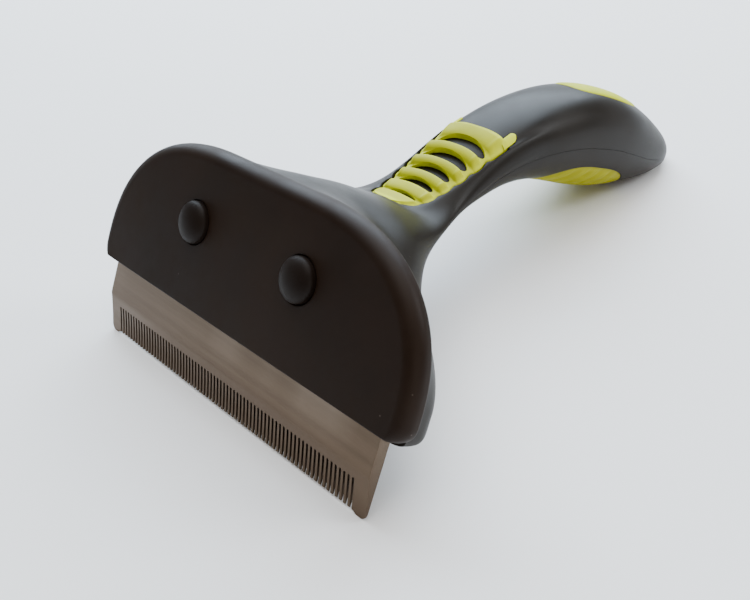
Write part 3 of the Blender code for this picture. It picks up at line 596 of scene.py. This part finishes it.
def thumb_height(x, y):
    """Height of the thumb grip over the skin: rounded louvres between two low rails."""
    if y > THUMB_REAR:
        return np.full_like(x, REAR_HEIGHT)
    half = float(thumb_reach(np.array(y)))
    side = np.abs(x) / max(float(thumb_half_width(np.array(y))), 1.0)
    rail = np.full_like(x, RAIL_HEIGHT)
    height = rail
    for (front, rear), crest in zip(thumb_edges(), RIB_HEIGHTS):
        share = (y - front) / (rear - front)
        if -RIB_BLEND <= share <= 1 + RIB_BLEND:
            height = rail + rib_height(share, crest, rear == THUMB_REAR, side)
    place, spread, tall = FRONT_LIP
    lip = tall * math.exp(-((y - THUMB_FRONT - place) / spread) ** 2)
    wide, drop = EDGE_ROLL
    roll = np.clip((half - np.abs(x)) / wide, 0, 1)
    return np.maximum(height, rail + lip) - drop * (1 - np.sqrt(1 - (1 - roll) ** 2))


def thumb_body(name, top, under, margin=0.0, rings_along=280, points_across=131):
    """Block over the outline of the thumb grip without its tails; top gives the height at x and y."""
    fine = 2.0                  # the rings stand closer over this length at the pointed front
    ys = np.concatenate((THUMB_FRONT - margin + fine * np.linspace(0.02, 1, 24) ** 2,
                         np.linspace(THUMB_FRONT + fine + 0.1, THUMB_REAR + margin, rings_along)))
    shares = np.linspace(-1, 1, points_across)
    rings = []
    for y in ys:
        x = shares * (max(float(thumb_reach(max(y, THUMB_FRONT))), LEAST_HALF_WIDTH) + margin)
        late = min(max((y - THUMB_REAR + REAR_BOW_LENGTH) / REAR_BOW_LENGTH, 0.0), 1.0)
        bow = REAR_BOW * x * x * late
        rings.append(np.concatenate((SKIN.over(x, y + bow, top(x, y)),
                                     SKIN.over(x[::-1], (y + bow)[::-1], under))))
    return loft(name, rings)


def thumb_tail(name, side, top, under, margin=0.0):
    """One of the two round-ended tails at the rear of the thumb grip."""
    middle, half = (TAIL_INNER + TAIL_OUTER) / 2, (TAIL_OUTER - TAIL_INNER) / 2
    turn = TAIL_REAR - half
    half += margin
    shares = np.linspace(-1, 1, 17)
    rings = []
    for y in np.concatenate((np.linspace(THUMB_REAR - TAIL_OVERLAP, turn, 12),
                             turn + half * np.sin(np.linspace(0.15, 1.5, 10)))):
        x = side * middle + shares * half * math.sqrt(1 - (max(y - turn, 0.0) / half) ** 2)
        rings.append(np.concatenate((SKIN.over(x, np.full_like(x, y), top(shares)),
                                     SKIN.over(x[::-1], np.full_like(x, y), under))))
    return loft(name, rings)


def tail_height(shares):
    return TAIL_HEIGHT + TAIL_CROWN * np.sqrt(1 - (0.98 * shares) ** 2)


def thumb_pale_and_edge_highlight(places):
    """How pale the rubber looks: rails, tails, lips and the sides of the ribs, and a painted highlight
    along the rear top edge of each rib.
    """
    x, y = np.abs(places[:, 0]), places[:, 1]
    half = np.maximum(thumb_half_width(y), 1.0)
    pale = PALE_SHARE * smooth(*PALE_SIDE, x / half)
    pale = np.maximum(pale, smooth(THUMB_REAR + PALE_REAR[0], THUMB_REAR + PALE_REAR[1], y))
    pale = np.maximum(pale, np.exp(-((y - THUMB_FRONT - PALE_LIP[0]) / PALE_LIP[1]) ** 2))
    # painted highlight: a thin pale line along the rear top edge of each rib
    for _, rear in thumb_edges():
        pale = np.maximum(pale, PALE_SHARE * np.exp(-((y - rear) / RIB_EDGE_HIGHLIGHT_SPREAD) ** 2))
    return pale


# ------------------------ pads of the tail

def pad_rings(spans, column, inner, outer, across=48):
    """Rings of a pad: spans gives, for each y, the half angle from the middle and its rise."""
    middle = math.pi / 2 if column == 0 else -math.pi / 2
    shares = np.linspace(-1, 1, across + 1)
    rings = []
    for y, half, rise in spans:
        rows = np.repeat(SKIN.rows(SKIN.number_at(y, column)), across + 1, axis=0)
        top = SKIN.points(rows, middle + half * shares, outer(rise, shares, y))
        under = SKIN.points(rows, middle + half * shares[::-1], inner)
        rings.append(np.concatenate((top, under)))
    return rings


def heel_spans(margin, count=72):
    spans = []
    for share in (1 - np.cos(np.linspace(HEEL_ENDS[0], math.pi - HEEL_ENDS[1], count))) / 2:
        y = HEEL_FRONT + share * (HEEL_REAR - HEEL_FRONT)
        half_width = HEEL_HALF_WIDTH * share ** HEEL_TAPER * math.sqrt(1 - share ** 6)
        rows = SKIN.rows(SKIN.number_at(y, 0))
        half = math.pi / 2 - float(SKIN.angle_at(rows, np.array([half_width + margin]))[0])
        spans.append([y, half, HEEL_PROUD * math.sin(math.pi * share) ** 0.3])
    spans[0][0] -= margin
    spans[-1][0] += margin
    return spans


def heel_height(rise, shares, _):
    return rise - HEEL_EDGE * np.abs(shares) ** 12


def palm_spans(margin, count=110):
    """Half angles of the palm pad; a recess is wider by the margin, taken at PALM_RADIUS."""
    spans = []
    for share in np.linspace(*PALM_ENDS, count):
        y = PALM_FRONT + share * (PALM_REAR - PALM_FRONT)
        wrap = PALM_WRAP * math.sqrt(1 - abs(2 * share - 1) ** 3)
        spans.append([y, wrap + margin / PALM_RADIUS, PALM_PROUD * math.sin(math.pi * share)])
    spans[0][0] -= margin
    spans[-1][0] += margin
    return spans


def palm_height(rise, shares, y):
    """Crowned pad with wavy ribs that sweep back from the middle to both sides."""
    waver, length = PALM_RIB_WAVER
    phase = y / PALM_RIB_PITCH - PALM_RIB_SWEEP * np.abs(shares) + waver * np.sin(y / length)
    fade = np.clip(1 - np.abs(shares) ** 8, 0, 1) * min(rise / PALM_RIB_FADE, 1.0)
    groove = np.minimum(np.sin(2 * math.pi * phase), PALM_RIB_CREST) - PALM_RIB_CREST
    return rise * (1 - shares ** 4) + PALM_GROOVE * groove * fade - PALM_EDGE * np.abs(shares) ** 16


# ------------------------ outlines of blade and cover

def comb_outline():
    """Blade as seen from the front: cut upper corners, round-ended slots, round end tines."""
    first = -(SLOT_COUNT - 1) / 2 * SLOT_PITCH
    half = SLOT_WIDTH / 2
    points = [(BLADE_HALF_WIDTH, BLADE_SHOULDER), (BLADE_HALF_WIDTH - BLADE_CORNER, BLADE_TOP),
              (BLADE_CORNER - BLADE_HALF_WIDTH, BLADE_TOP), (-BLADE_HALF_WIDTH, BLADE_SHOULDER)]
    edge = first - half
    corner = [(-BLADE_HALF_WIDTH + END_TINE_CORNER * (1 - math.cos(a)),
               -END_TINE_DROP + END_TINE_CORNER * (1 - math.sin(a)))
              for a in (math.pi / 2 * k / 6 for k in range(7))]
    start, wide = END_TINE_RISE
    inner = [(edge - start + wide * t, -END_TINE_DROP * (1 - t * t * (3 - 2 * t)))
             for t in (0, .25, .5, .75, 1)]
    end = corner + inner
    across, up = TIP_CHAMFER
    points += end
    for k in range(SLOT_COUNT):
        x = first + k * SLOT_PITCH
        points += [(x - half - across, 0.0), (x - half, up)]
        points += [(x - half * math.cos(a), SLOT_TOP - half + half * math.sin(a))
                   for a in (math.pi * i / 8 for i in range(9))]
        points += [(x + half, up), (x + half + across, 0.0)]
    points += [(-x, z) for x, z in reversed(end)]
    return points


def blade_profile():
    """Blade as seen from the side: flat back, flat strip and long hollow bevel on the front."""
    low = -END_TINE_DROP - PROFILE_SPARE
    points = [(BLADE_BACK, low), (BLADE_BACK, BLADE_TOP + 1), (BLADE_FRONT, BLADE_TOP + 1)]
    steps = 12
    for k in range(steps + 1):
        share = k / steps
        z = BLADE_CREASE + (low - BLADE_CREASE) * share
        lean = (BLADE_BACK - BLADE_EDGE - BLADE_FRONT) * (BLADE_CREASE - z) / BLADE_CREASE
        points.append((BLADE_FRONT + lean + BEVEL_HOLLOW * math.sin(math.pi * share), z))
    return points


def bevel_share(places):
    """1 on the hollow bevel and the tines, 0 on the flat strip."""
    return 1.0 * (places[:, 2] < BLADE_CREASE + 0.01)


def blade_seat(margin, low):
    """Outline of the part of the blade that the cover holds."""
    wide = BLADE_HALF_WIDTH + margin
    return [(wide, low), (wide, BLADE_SHOULDER), (wide - BLADE_CORNER, BLADE_TOP + margin),
            (BLADE_CORNER - wide, BLADE_TOP + margin), (-wide, BLADE_SHOULDER), (-wide, low)]


def cover_ring(y, inset, lift):
    """Outline of the D-shaped cover, moved in by inset, its bottom edge raised by lift."""
    reach, rise = COVER_REACH - inset, COVER_RISE - inset
    half = []
    for a in np.linspace(0, math.pi / 2, 57):
        half.append((COVER_FLAT + reach * abs(math.cos(a)) ** (2 / COVER_POWER),
                     COVER_WAIST + rise * math.sin(a) ** (2 / COVER_POWER)))
    wide = COVER_FLAT + reach
    drop = COVER_WAIST - COVER_BOTTOM - lift
    turn = max(COVER_CORNER - inset, COVER_CORNER_LEAST)
    corner = [(wide - turn * (1 - math.sin(a)), COVER_WAIST - drop * math.cos(a))
              for a in np.linspace(0, math.pi / 2, 13)]
    right = corner[:-1] + half
    left = [(-x, z) for x, z in reversed(right)]
    return [(x, y, z) for x, z in right + left]


# ------------------------ materials

class Surface:
    """A Principled material under construction, with short names for its texture nodes."""

    def __init__(self, name, roughness, metallic=0.0, specular=0.5):
        self.material = bpy.data.materials.new(name)
        self.material.use_nodes = True
        self.nodes = self.material.node_tree.nodes
        self.links = self.material.node_tree.links
        self.shader = self.nodes["Principled BSDF"]
        self.shader.inputs["Roughness"].default_value = roughness
        self.shader.inputs["Metallic"].default_value = metallic
        self.shader.inputs["Specular IOR Level"].default_value = specular
        self.place = self.nodes.new("ShaderNodeTexCoord").outputs["Object"]
        self.bumps = None

    def stretched(self, scale):
        node = self.nodes.new("ShaderNodeMapping")
        node.inputs["Scale"].default_value = scale
        self.links.new(self.place, node.inputs["Vector"])
        return node.outputs["Vector"]

    def noise(self, scale, detail=4.0, rough=0.55, place=None):
        node = self.nodes.new("ShaderNodeTexNoise")
        node.inputs["Scale"].default_value = scale
        node.inputs["Detail"].default_value = detail
        node.inputs["Roughness"].default_value = rough
        self.links.new(place or self.place, node.inputs["Vector"])
        return node.outputs["Fac"]

    def cells(self, scale):
        node = self.nodes.new("ShaderNodeTexVoronoi")
        node.inputs["Scale"].default_value = scale
        self.links.new(self.place, node.inputs["Vector"])
        return node.outputs["Distance"]

    def attribute(self, name):
        node = self.nodes.new("ShaderNodeAttribute")
        node.attribute_name = name
        return node.outputs["Fac"]

    def ramp(self, value, *stops):
        """Levels at places from 0 to 1, blended between them."""
        node = self.nodes.new("ShaderNodeValToRGB")
        ramp = node.color_ramp
        while len(ramp.elements) < len(stops):
            ramp.elements.new(0.5)
        for element, (place, level) in zip(ramp.elements, stops):
            element.position = place
            element.color = (level, level, level, 1.0)
        self.links.new(value, node.inputs["Fac"])
        return node.outputs["Color"]

    def mix(self, amount, first, second):
        """Colour between two sockets or plain colours."""
        node = self.nodes.new("ShaderNodeMix")
        node.data_type = "RGBA"
        self.set(node.inputs[0], amount)
        self.set(node.inputs[6], first)
        self.set(node.inputs[7], second)
        return node.outputs[2]

    def set(self, socket, value):
        if isinstance(value, bpy.types.NodeSocket):
            self.links.new(value, socket)
        elif isinstance(value, tuple):
            socket.default_value = (*value, 1.0)
        else:
            socket.default_value = value

    def color(self, value):
        self.set(self.shader.inputs["Base Color"], value)

    def roughness(self, value):
        self.set(self.shader.inputs["Roughness"], value)

    def bump(self, height, distance, strength=1.0):
        node = self.nodes.new("ShaderNodeBump")
        node.inputs["Strength"].default_value = strength
        node.inputs["Distance"].default_value = distance
        self.links.new(height, node.inputs["Height"])
        if self.bumps is not None:
            self.links.new(self.bumps, node.inputs["Normal"])
        self.bumps = node.outputs["Normal"]
        self.links.new(self.bumps, self.shader.inputs["Normal"])

    def soft_edges(self, radius):
        """Shades edges as if they were rounded by this radius, in metres. Comes before any bump."""
        node = self.nodes.new("ShaderNodeBevel")
        node.samples = 6
        node.inputs["Radius"].default_value = radius
        self.bumps = node.outputs["Normal"]
        self.links.new(self.bumps, self.shader.inputs["Normal"])


def black_plastic(name, dark, light, roughness, grain, dust, specular):
    """Moulded plastic: mottled colour and gloss, a fine spark-eroded grain and a little dust."""
    s = Surface(name, roughness[0], specular=specular)
    s.soft_edges(0.00022)
    mottle = s.noise(45.0, 5.0, 0.6)
    body = s.mix(s.ramp(mottle, (0.35, 0.0), (0.7, 1.0)), dark, light)
    specks = s.ramp(s.cells(380.0), (0.0, 1.0), (0.085, 0.0))
    chosen = s.ramp(s.noise(160.0, 2.0), (0.60, 0.0), (0.64, 1.0))
    dusty = s.mix(chosen, (0.0, 0.0, 0.0), specks)
    s.color(s.mix(dusty, body, dust))
    s.roughness(s.ramp(s.noise(90.0, 6.0, 0.65), (0.3, roughness[0]), (0.75, roughness[1])))
    s.bump(s.noise(grain, 3.0, 0.6), 0.00002, 0.55)
    s.bump(s.noise(120.0, 2.0, 0.5), 0.00004, 0.25)
    return s.material


def rubber(name, deep, bright, pale=None):
    """Moulded thermoplastic rubber; with pale, it turns that colour where "pale" marks it."""
    s = Surface(name, 0.55, specular=0.18)
    s.soft_edges(0.0002)
    body = s.mix(s.ramp(s.noise(70.0, 4.0), (0.3, 0.0), (0.72, 1.0)), deep, bright)
    if pale:
        body = s.mix(s.attribute("pale"), body, pale)
    s.color(body)
    s.shader.inputs["Subsurface Weight"].default_value = 0.12
    s.shader.inputs["Subsurface Radius"].default_value = (0.6, 0.7, 0.1)
    s.shader.inputs["Subsurface Scale"].default_value = 0.0012
    s.roughness(s.ramp(s.noise(150.0, 5.0, 0.6), (0.3, 0.48), (0.75, 0.64)))
    s.bump(s.noise(5200.0, 3.0, 0.6), 0.000015, 0.5)
    return s.material


STEEL_DARK, STEEL_LIGHT = (0.095, 0.070, 0.049), (0.155, 0.119, 0.088)
STEEL_STAIN = (0.080, 0.056, 0.038)
# painted reflection: a lighter colour that stands in for the broad reflections of the brushed strip
STEEL_PAINTED_REFLECTION = (0.30, 0.245, 0.195)
STEEL_BEVEL = (0.105, 0.073, 0.049)


def brushed_steel(name):
    """Stainless steel with fine grinding lines along X, stains, broad bands of painted reflection that
    vary along X and a darker bevel.
    """
    s = Surface(name, 0.34, metallic=1.0)
    s.soft_edges(0.00006)
    lines = s.noise(1.0, 6.0, 0.7, s.stretched((35.0, 2600.0, 2600.0)))
    broad = s.noise(1.0, 3.0, 0.5, s.stretched((9.0, 420.0, 420.0)))
    stain = s.noise(38.0, 4.0, 0.6)
    body = s.mix(s.ramp(lines, (0.3, 0.0), (0.75, 1.0)), STEEL_DARK, STEEL_LIGHT)
    body = s.mix(s.ramp(stain, (0.45, 0.0), (0.8, 0.35)), body, STEEL_STAIN)
    # painted reflection: broad lighter bands that vary along X, standing in for reflections across the
    # brushed strip
    painted_reflection = s.noise(1.0, 1.0, 0.5, s.stretched((48.0, 2.0, 2.0)))
    body = s.mix(s.ramp(painted_reflection, (0.48, 0.0), (0.68, 0.8)), body, STEEL_PAINTED_REFLECTION)
    body = s.mix(s.attribute("bevel"), body, STEEL_BEVEL)
    s.color(body)
    s.roughness(s.ramp(broad, (0.3, 0.28), (0.75, 0.44)))
    s.bump(lines, 0.00001, 0.5)
    return s.material


def fastener_metal(name, dark, light, roughness):
    """Plated or turned metal of the hidden screws, washers and inserts."""
    s = Surface(name, roughness, metallic=1.0)
    s.soft_edges(0.0001)
    s.color(s.mix(s.ramp(s.noise(900.0, 5.0, 0.6), (0.35, 0.0), (0.7, 1.0)), dark, light))
    s.roughness(s.ramp(s.noise(1500.0, 4.0), (0.3, roughness - 0.06), (0.75, roughness + 0.1)))
    s.bump(s.noise(4000.0, 3.0), 0.00001, 0.4)
    return s.material


def pale_floor(name):
    s = Surface(name, 0.6, specular=0.2)
    patches = s.ramp(s.noise(2.5, 3.0), (0.35, 0.0), (0.7, 1.0))
    s.color(s.mix(patches, (0.86, 0.855, 0.85), (0.9, 0.895, 0.89)))
    s.bump(s.noise(900.0, 3.0), 0.00002, 0.2)
    return s.material


# ------------------------ pieces

def make_blade(material):
    blade = slab("comb_blade", comb_outline(), CUT_FRONT, CUT_BACK, FACING_FRONT)
    profile = slab("profile", blade_profile(), -CUT_SIDE, CUT_SIDE, FACING_SIDE)
    span = (CUT_FRONT, CUT_BACK)
    holes = rod_pair("hole", CLAMP_BOSS + CLEARANCE, *span, CLAMP_X, CLAMP_Z)
    holes += rod_pair("hole", PIN_RADIUS + CLEARANCE, *span, PIN_X, PIN_Z)
    carve(blade, ("INTERSECT", [profile]), ("DIFFERENCE", holes))
    finish_piece(blade, material, "tool", ["blade"], {"bevel": bevel_share}, 20)


def make_cover(material):
    rings = []
    for a in np.linspace(0, math.pi / 2, 13):
        inward = 1 - math.sin(a)
        rings.append(cover_ring(COVER_FRONT + RIM_FRONT * (1 - math.cos(a)), RIM_FRONT * inward,
                                RIM_BOTTOM * inward))
    for a in np.linspace(0, math.pi / 2, 7):
        rings.append(cover_ring(COVER_BACK - RIM_BACK * (1 - math.sin(a)),
                                RIM_BACK * (1 - math.cos(a)), 0.0))
    cover = loft("cover_shell", rings)
    pocket = slab("pocket", blade_seat(CLEARANCE, 0.0), POCKET_FRONT, CUT_BACK, FACING_FRONT)
    bosses = rod_pair("boss", CLAMP_BOSS, POCKET_FRONT - 1, CLAMP_BOSS_END, CLAMP_X, CLAMP_Z, 64)
    floor = COVER_FRONT + PLUG_SEAT
    wide = PLUG_RADIUS + PLUG_GAP
    lip = [(wide + SEAT_LIP * (1 - math.sin(a)), COVER_FRONT + SEAT_LIP * (1 - math.cos(a)))
           for a in np.linspace(0, math.pi / 2, 5)]
    outside, inside = COVER_FRONT - 3, CLAMP_BOSS_END + 1
    profile = [(0, outside), (lip[0][0], outside)] + lip + [
        (wide, floor), (CLAMP_BORE, floor), (CLAMP_BORE, CLAMP_FLOOR), (SCREW_HOLE, CLAMP_FLOOR),
        (SCREW_HOLE, inside), (0, inside)]
    seats = [turned("seat", profile, along_y(side * CLAMP_X, CLAMP_Z)) for side in SIDES]
    carve(cover, ("DIFFERENCE", [pocket]), ("UNION", bosses), ("DIFFERENCE", seats))
    even_shading(finish_piece(cover, material, "tool", ["front_cover"]))


def make_plug(label, side, material):
    """Soft press-in plug: a low dome with a rounded skirt on a short shank."""
    base = COVER_FRONT + PLUG_SEAT - CLEARANCE
    crown = COVER_FRONT - PLUG_PROUD
    wall = COVER_FRONT - PLUG_WALL
    profile = [(0, SHANK_END)]
    profile += [(SHANK_RADIUS - inward, SHANK_END - outward) for inward, outward in SHANK_ROUNDING]
    profile += [(SHANK_RADIUS, base), (PLUG_RADIUS - PLUG_CHAMFER, base),
                (PLUG_RADIUS, base - PLUG_CHAMFER)]
    for a in np.linspace(0, math.pi / 2, 22)[:-1]:
        profile.append((PLUG_RADIUS * math.cos(a) ** PLUG_DOME_POWER,
                        wall - (wall - crown) * math.sin(a)))
    profile.append((0, crown))
    plug = turned(label + "_dome_plug", profile, along_y(side * CLAMP_X, CLAMP_Z), 96)
    finish_piece(plug, material, label + "_plug", [label + "_screw_plug"])


def parting_outline(shift):
    """Side view of everything below the parting line, which is moved up by shift."""
    numbers = np.linspace(PARTING_FIRST, len(STATIONS) - 1, 120)
    rows = SKIN.rows(numbers)
    climb = np.clip((numbers - PARTING_FIRST) / PARTING_RISE, 0, 1)
    level = PARTING_HEIGHT * np.sin(climb * math.pi / 2)
    span = len(STATIONS) - 1 - PARTING_FALL
    level += (PARTING_TAIL - PARTING_HEIGHT) * np.clip(numbers - PARTING_FALL, 0, None) / span
    top, bottom = rows[:, 0:2], rows[:, 2:4]
    up = (top - bottom) / np.linalg.norm(top - bottom, axis=1)[:, None]
    line = bottom + (top - bottom) * level[:, None] + up * shift
    start = (line[0][0] - PARTING_START[0] - shift, line[0][1] - PARTING_START[1])
    past = line[-1] - line[-2]
    stop = tuple(line[-1] + past / np.linalg.norm(past) * PARTING_BEYOND)
    return [start] + [tuple(point) for point in line[:-1]] + [
        stop, (stop[0], PARTING_CLOSED), (start[0], PARTING_CLOSED)]


def shell_screw_axes():
    """Axis matrix and reach of each shell screw; its Z axis points in from the skin."""
    axes = []
    for y in PALM_SCREWS:
        row = SKIN.rows(SKIN.number_at(y, 2))[0]
        axes.append((Matrix.Translation((0, y, row[3])), PALM_SCREW_LENGTH))
    row = SKIN.rows(SKIN.number_at(NECK_SCREW_Y, 0))[0]
    lean = math.atan2(row[2] - row[0], row[1] - row[3])
    turn = Matrix.Translation((0, row[0], row[1])) @ Matrix.Rotation(math.pi + lean, 4, "X")
    axes.append((turn, NECK_SCREW_LENGTH))
    return axes


def make_head_cavity():
    """The hollow of the head, open at the front, with bosses for the screws and pins."""
    keep = rod_pair("kept", HEAD_BOSS, KEPT_FROM, KEPT_TO, CLAMP_X, CLAMP_Z)
    keep += rod_pair("kept", PIN_BOSS, KEPT_FROM, KEPT_TO, PIN_X, PIN_Z)
    rings = cavity_rings(*HEAD_CAVITY)
    mouth = rings[0].copy()
    mouth[:, 1] = CAVITY_MOUTH
    return carve(loft("cavity", [mouth] + rings), ("DIFFERENCE", keep))


def make_handle_cavity():
    """The hollow of the handle, with the bosses of the shell screws left standing in it."""
    keep = [rod("kept", SHELL_BOSS, KEPT_FROM, KEPT_TO, axis) for axis, _ in shell_screw_axes()]
    return carve(loft("cavity", cavity_rings(*HANDLE_CAVITY)), ("DIFFERENCE", keep))


def screw_pockets():
    """Room for the shell screws: a closed pocket for each head and a hole for each shaft."""
    pockets = []
    low, high = SCREW_HEAD_POCKET
    for axis, length in shell_screw_axes():
        end = length + CLEARANCE
        profile = [(0, low), (SCREW_HEAD_RADIUS, low), (SCREW_HEAD_RADIUS, high), (SCREW_HOLE, high),
                   (SCREW_HOLE, end), (0, end)]
        pockets.append(turned("pocket", profile, axis))
    return pockets


def open_top(*place):
    """Height of a recess's cutter: above the skin everywhere."""
    return CUT_ABOVE


def make_shells(material):
    upper = loft("upper_shell", body_rings(), fans=True)
    lower = add_object("lower_shell", upper.data.copy())

    below = slab("below_parting", parting_outline(SEAM / 2), -CUT_SIDE, CUT_SIDE, FACING_SIDE)
    keep = slab("lower_region", parting_outline(-SEAM / 2), -CUT_SIDE, CUT_SIDE, FACING_SIDE)
    sockets = rod_pair("socket", CLAMP_BOSS + CLEARANCE, -1, CLAMP_BOSS_END + CLEARANCE,
                       CLAMP_X, CLAMP_Z)
    sockets += rod_pair("insert_hole", INSERT_HOLE, 0, INSERT_END, CLAMP_X, CLAMP_Z)
    pins = rod_pair("pin", PIN_RADIUS, PIN_TIP, PIN_ROOT, PIN_X, PIN_Z)
    floor = -THUMB_DEPTH - THUMB_GAP
    thumb = [thumb_body("thumb_recess", open_top, floor, THUMB_GAP, 100, 41)]
    thumb += [thumb_tail("tail_recess", side, open_top, floor + TAIL_RECESS_LIFT, THUMB_GAP)
              for side in SIDES]
    heel = loft("heel_recess", pad_rings(heel_spans(PAD_GAP), 0, -PAD_DEPTH - PAD_GAP, open_top))
    palm = loft("palm_recess", pad_rings(palm_spans(PAD_GAP), 2, -PAD_DEPTH - PAD_GAP, open_top))
    carve(upper, ("DIFFERENCE", [below, make_head_cavity(), make_handle_cavity()] + sockets),
          ("UNION", pins), ("DIFFERENCE", thumb + [heel] + screw_pockets()))
    carve(lower, ("INTERSECT", [keep]), ("DIFFERENCE", [make_handle_cavity(), palm] + screw_pockets()))
    finish_piece(upper, material, "tool", ["handle_body"])
    finish_piece(lower, material, "tool", ["handle_underside"])


def make_thumb_grip(material):
    slots = [cookie("slot", slot_outline(*slot), *THUMB_SLOT_CUT) for slot in THUMB_SLOTS]
    tails = [thumb_tail("tail", side, tail_height, TAIL_LIFT - THUMB_DEPTH) for side in SIDES]
    grip = thumb_body("thumb_grip_pad", thumb_height, -THUMB_DEPTH)
    carve(grip, ("DIFFERENCE", slots), ("UNION", tails))
    finish_piece(grip, material, "tool", ["thumb_grip"], {"pale": thumb_pale_and_edge_highlight}, 50)


def make_tail_pads(lime, dark_lime):
    heel = loft("heel_grip_pad", pad_rings(heel_spans(0.0), 0, -PAD_DEPTH, heel_height))
    finish_piece(heel, lime, "tool", ["heel_pad"])
    palm = loft("palm_grip_pad", pad_rings(palm_spans(0.0), 2, -PAD_DEPTH, palm_height))
    finish_piece(palm, dark_lime, "tool", ["palm_pad"])


def dress_fasteners(steel, brass):
    for name, node in frame["nodes"].items():
        if node.hide_render:
            continue
        node.data.materials.clear()
        node.data.materials.append(brass if name.endswith("threaded_insert") else steel)


# ------------------------ floor, light and camera

FLOOR_SIZE = 3.0

# Area lights: name, place, target, width and height, power and colour
LIGHTS = (
    ("key", (-0.62, 0.58, 0.72), (0, 0.02, 0.02), (1.5, 1.0), 42.0, (0.74, 0.87, 1.0)),
    ("top", (0.05, 0.05, 1.1), (0, 0, 0), (1.0, 1.0), 11.0, (1.0, 0.98, 0.96)),
    ("rim", (0.62, 0.62, 0.60), (0, 0, 0.03), (0.4, 0.4), 6.0, (0.92, 0.96, 1.0)),
    ("fill", (0.7, -0.35, 0.30), (0, 0, 0.03), (0.5, 0.4), 1.2, (1.0, 0.88, 0.76)),
)
WORLD_COLOR, WORLD_STRENGTH = (0.95, 0.93, 0.90), 0.24


def make_floor(material):
    bm = bmesh.new()
    bmesh.ops.create_grid(bm, x_segments=24, y_segments=24, size=FLOOR_SIZE)
    floor = make_object("floor", bm)
    floor.data.materials.append(material)


def area_light(name, place, target, size, power, color):
    light = bpy.data.lights.new(name, "AREA")
    light.shape = "RECTANGLE"
    light.size, light.size_y = size
    light.energy = power
    light.color = color
    obj = add_object(name, light)
    obj.location = place
    obj.rotation_mode = "QUATERNION"
    obj.rotation_quaternion = (Vector(target) - Vector(place)).to_track_quat("-Z", "Y")


def make_world():
    world = bpy.data.worlds.new("studio")
    world.use_nodes = True
    background = world.node_tree.nodes["Background"]
    background.inputs["Color"].default_value = (*WORLD_COLOR, 1.0)
    background.inputs["Strength"].default_value = WORLD_STRENGTH
    bpy.context.scene.world = world


# The camera in the design frame: where it stands, where it looks and which way is down
CAMERA_PLACE = (151.1, -130.85, 83.5)
CAMERA_VIEW = (-0.641, 0.730, -0.238)
CAMERA_DOWN = (0.362, 0.014, -0.932)
CAMERA_LENS = 44.1


def make_camera():
    data = bpy.data.cameras.new("camera")
    data.lens = CAMERA_LENS
    data.clip_start, data.clip_end = 0.01, 20.0
    camera = add_object("camera", data)
    turn = TOOL.to_3x3().normalized()
    back = (turn @ -Vector(CAMERA_VIEW)).normalized()
    up = turn @ -Vector(CAMERA_DOWN)
    up = (up - back * up.dot(back)).normalized()
    axes = Matrix((up.cross(back), up, back)).transposed()
    camera.matrix_world = Matrix.Translation(TOOL @ Vector(CAMERA_PLACE)) @ axes.to_4x4()
    bpy.context.scene.camera = camera


def main():
    soft_black = black_plastic("soft_black_cover", dark=(0.0104, 0.0045, 0.0018),
                               light=(0.0162, 0.0076, 0.0034), roughness=(0.44, 0.6),
                               grain=5200.0, dust=(0.12, 0.095, 0.08), specular=0.14)
    handle_black = black_plastic("handle_black", dark=(0.0082, 0.0060, 0.0040),
                                 light=(0.0130, 0.0098, 0.0068), roughness=(0.34, 0.46),
                                 grain=6500.0, dust=(0.14, 0.125, 0.11), specular=0.15)
    plug_black = black_plastic("plug_black", dark=(0.0075, 0.0042, 0.0028),
                               light=(0.0120, 0.0072, 0.0050), roughness=(0.42, 0.56),
                               grain=4800.0, dust=(0.10, 0.085, 0.07), specular=0.12)
    lime = rubber("lime_rubber", (0.37, 0.385, 0.0), (0.47, 0.49, 0.0), (0.58, 0.63, 0.01))
    lime_smooth = rubber("lime_rubber_smooth", (0.42, 0.46, 0.0), (0.50, 0.54, 0.004))
    dark_lime = rubber("dark_lime_rubber", (0.28, 0.27, 0.0), (0.36, 0.345, 0.0))
    steel = brushed_steel("brushed_stainless")
    zinc = fastener_metal("zinc_plated_steel", (0.50, 0.50, 0.50), (0.66, 0.66, 0.65), 0.34)
    brass = fastener_metal("turned_brass", (0.62, 0.42, 0.15), (0.80, 0.60, 0.26), 0.28)

    make_blade(steel)
    make_cover(soft_black)
    make_plug("left", -1, plug_black)
    make_plug("right", 1, plug_black)
    make_shells(handle_black)
    make_thumb_grip(lime)
    make_tail_pads(lime_smooth, dark_lime)
    dress_fasteners(zinc, brass)

    make_floor(pale_floor("pale_floor"))
    make_world()
    for light in LIGHTS:
        area_light(*light)
    make_camera()


main()
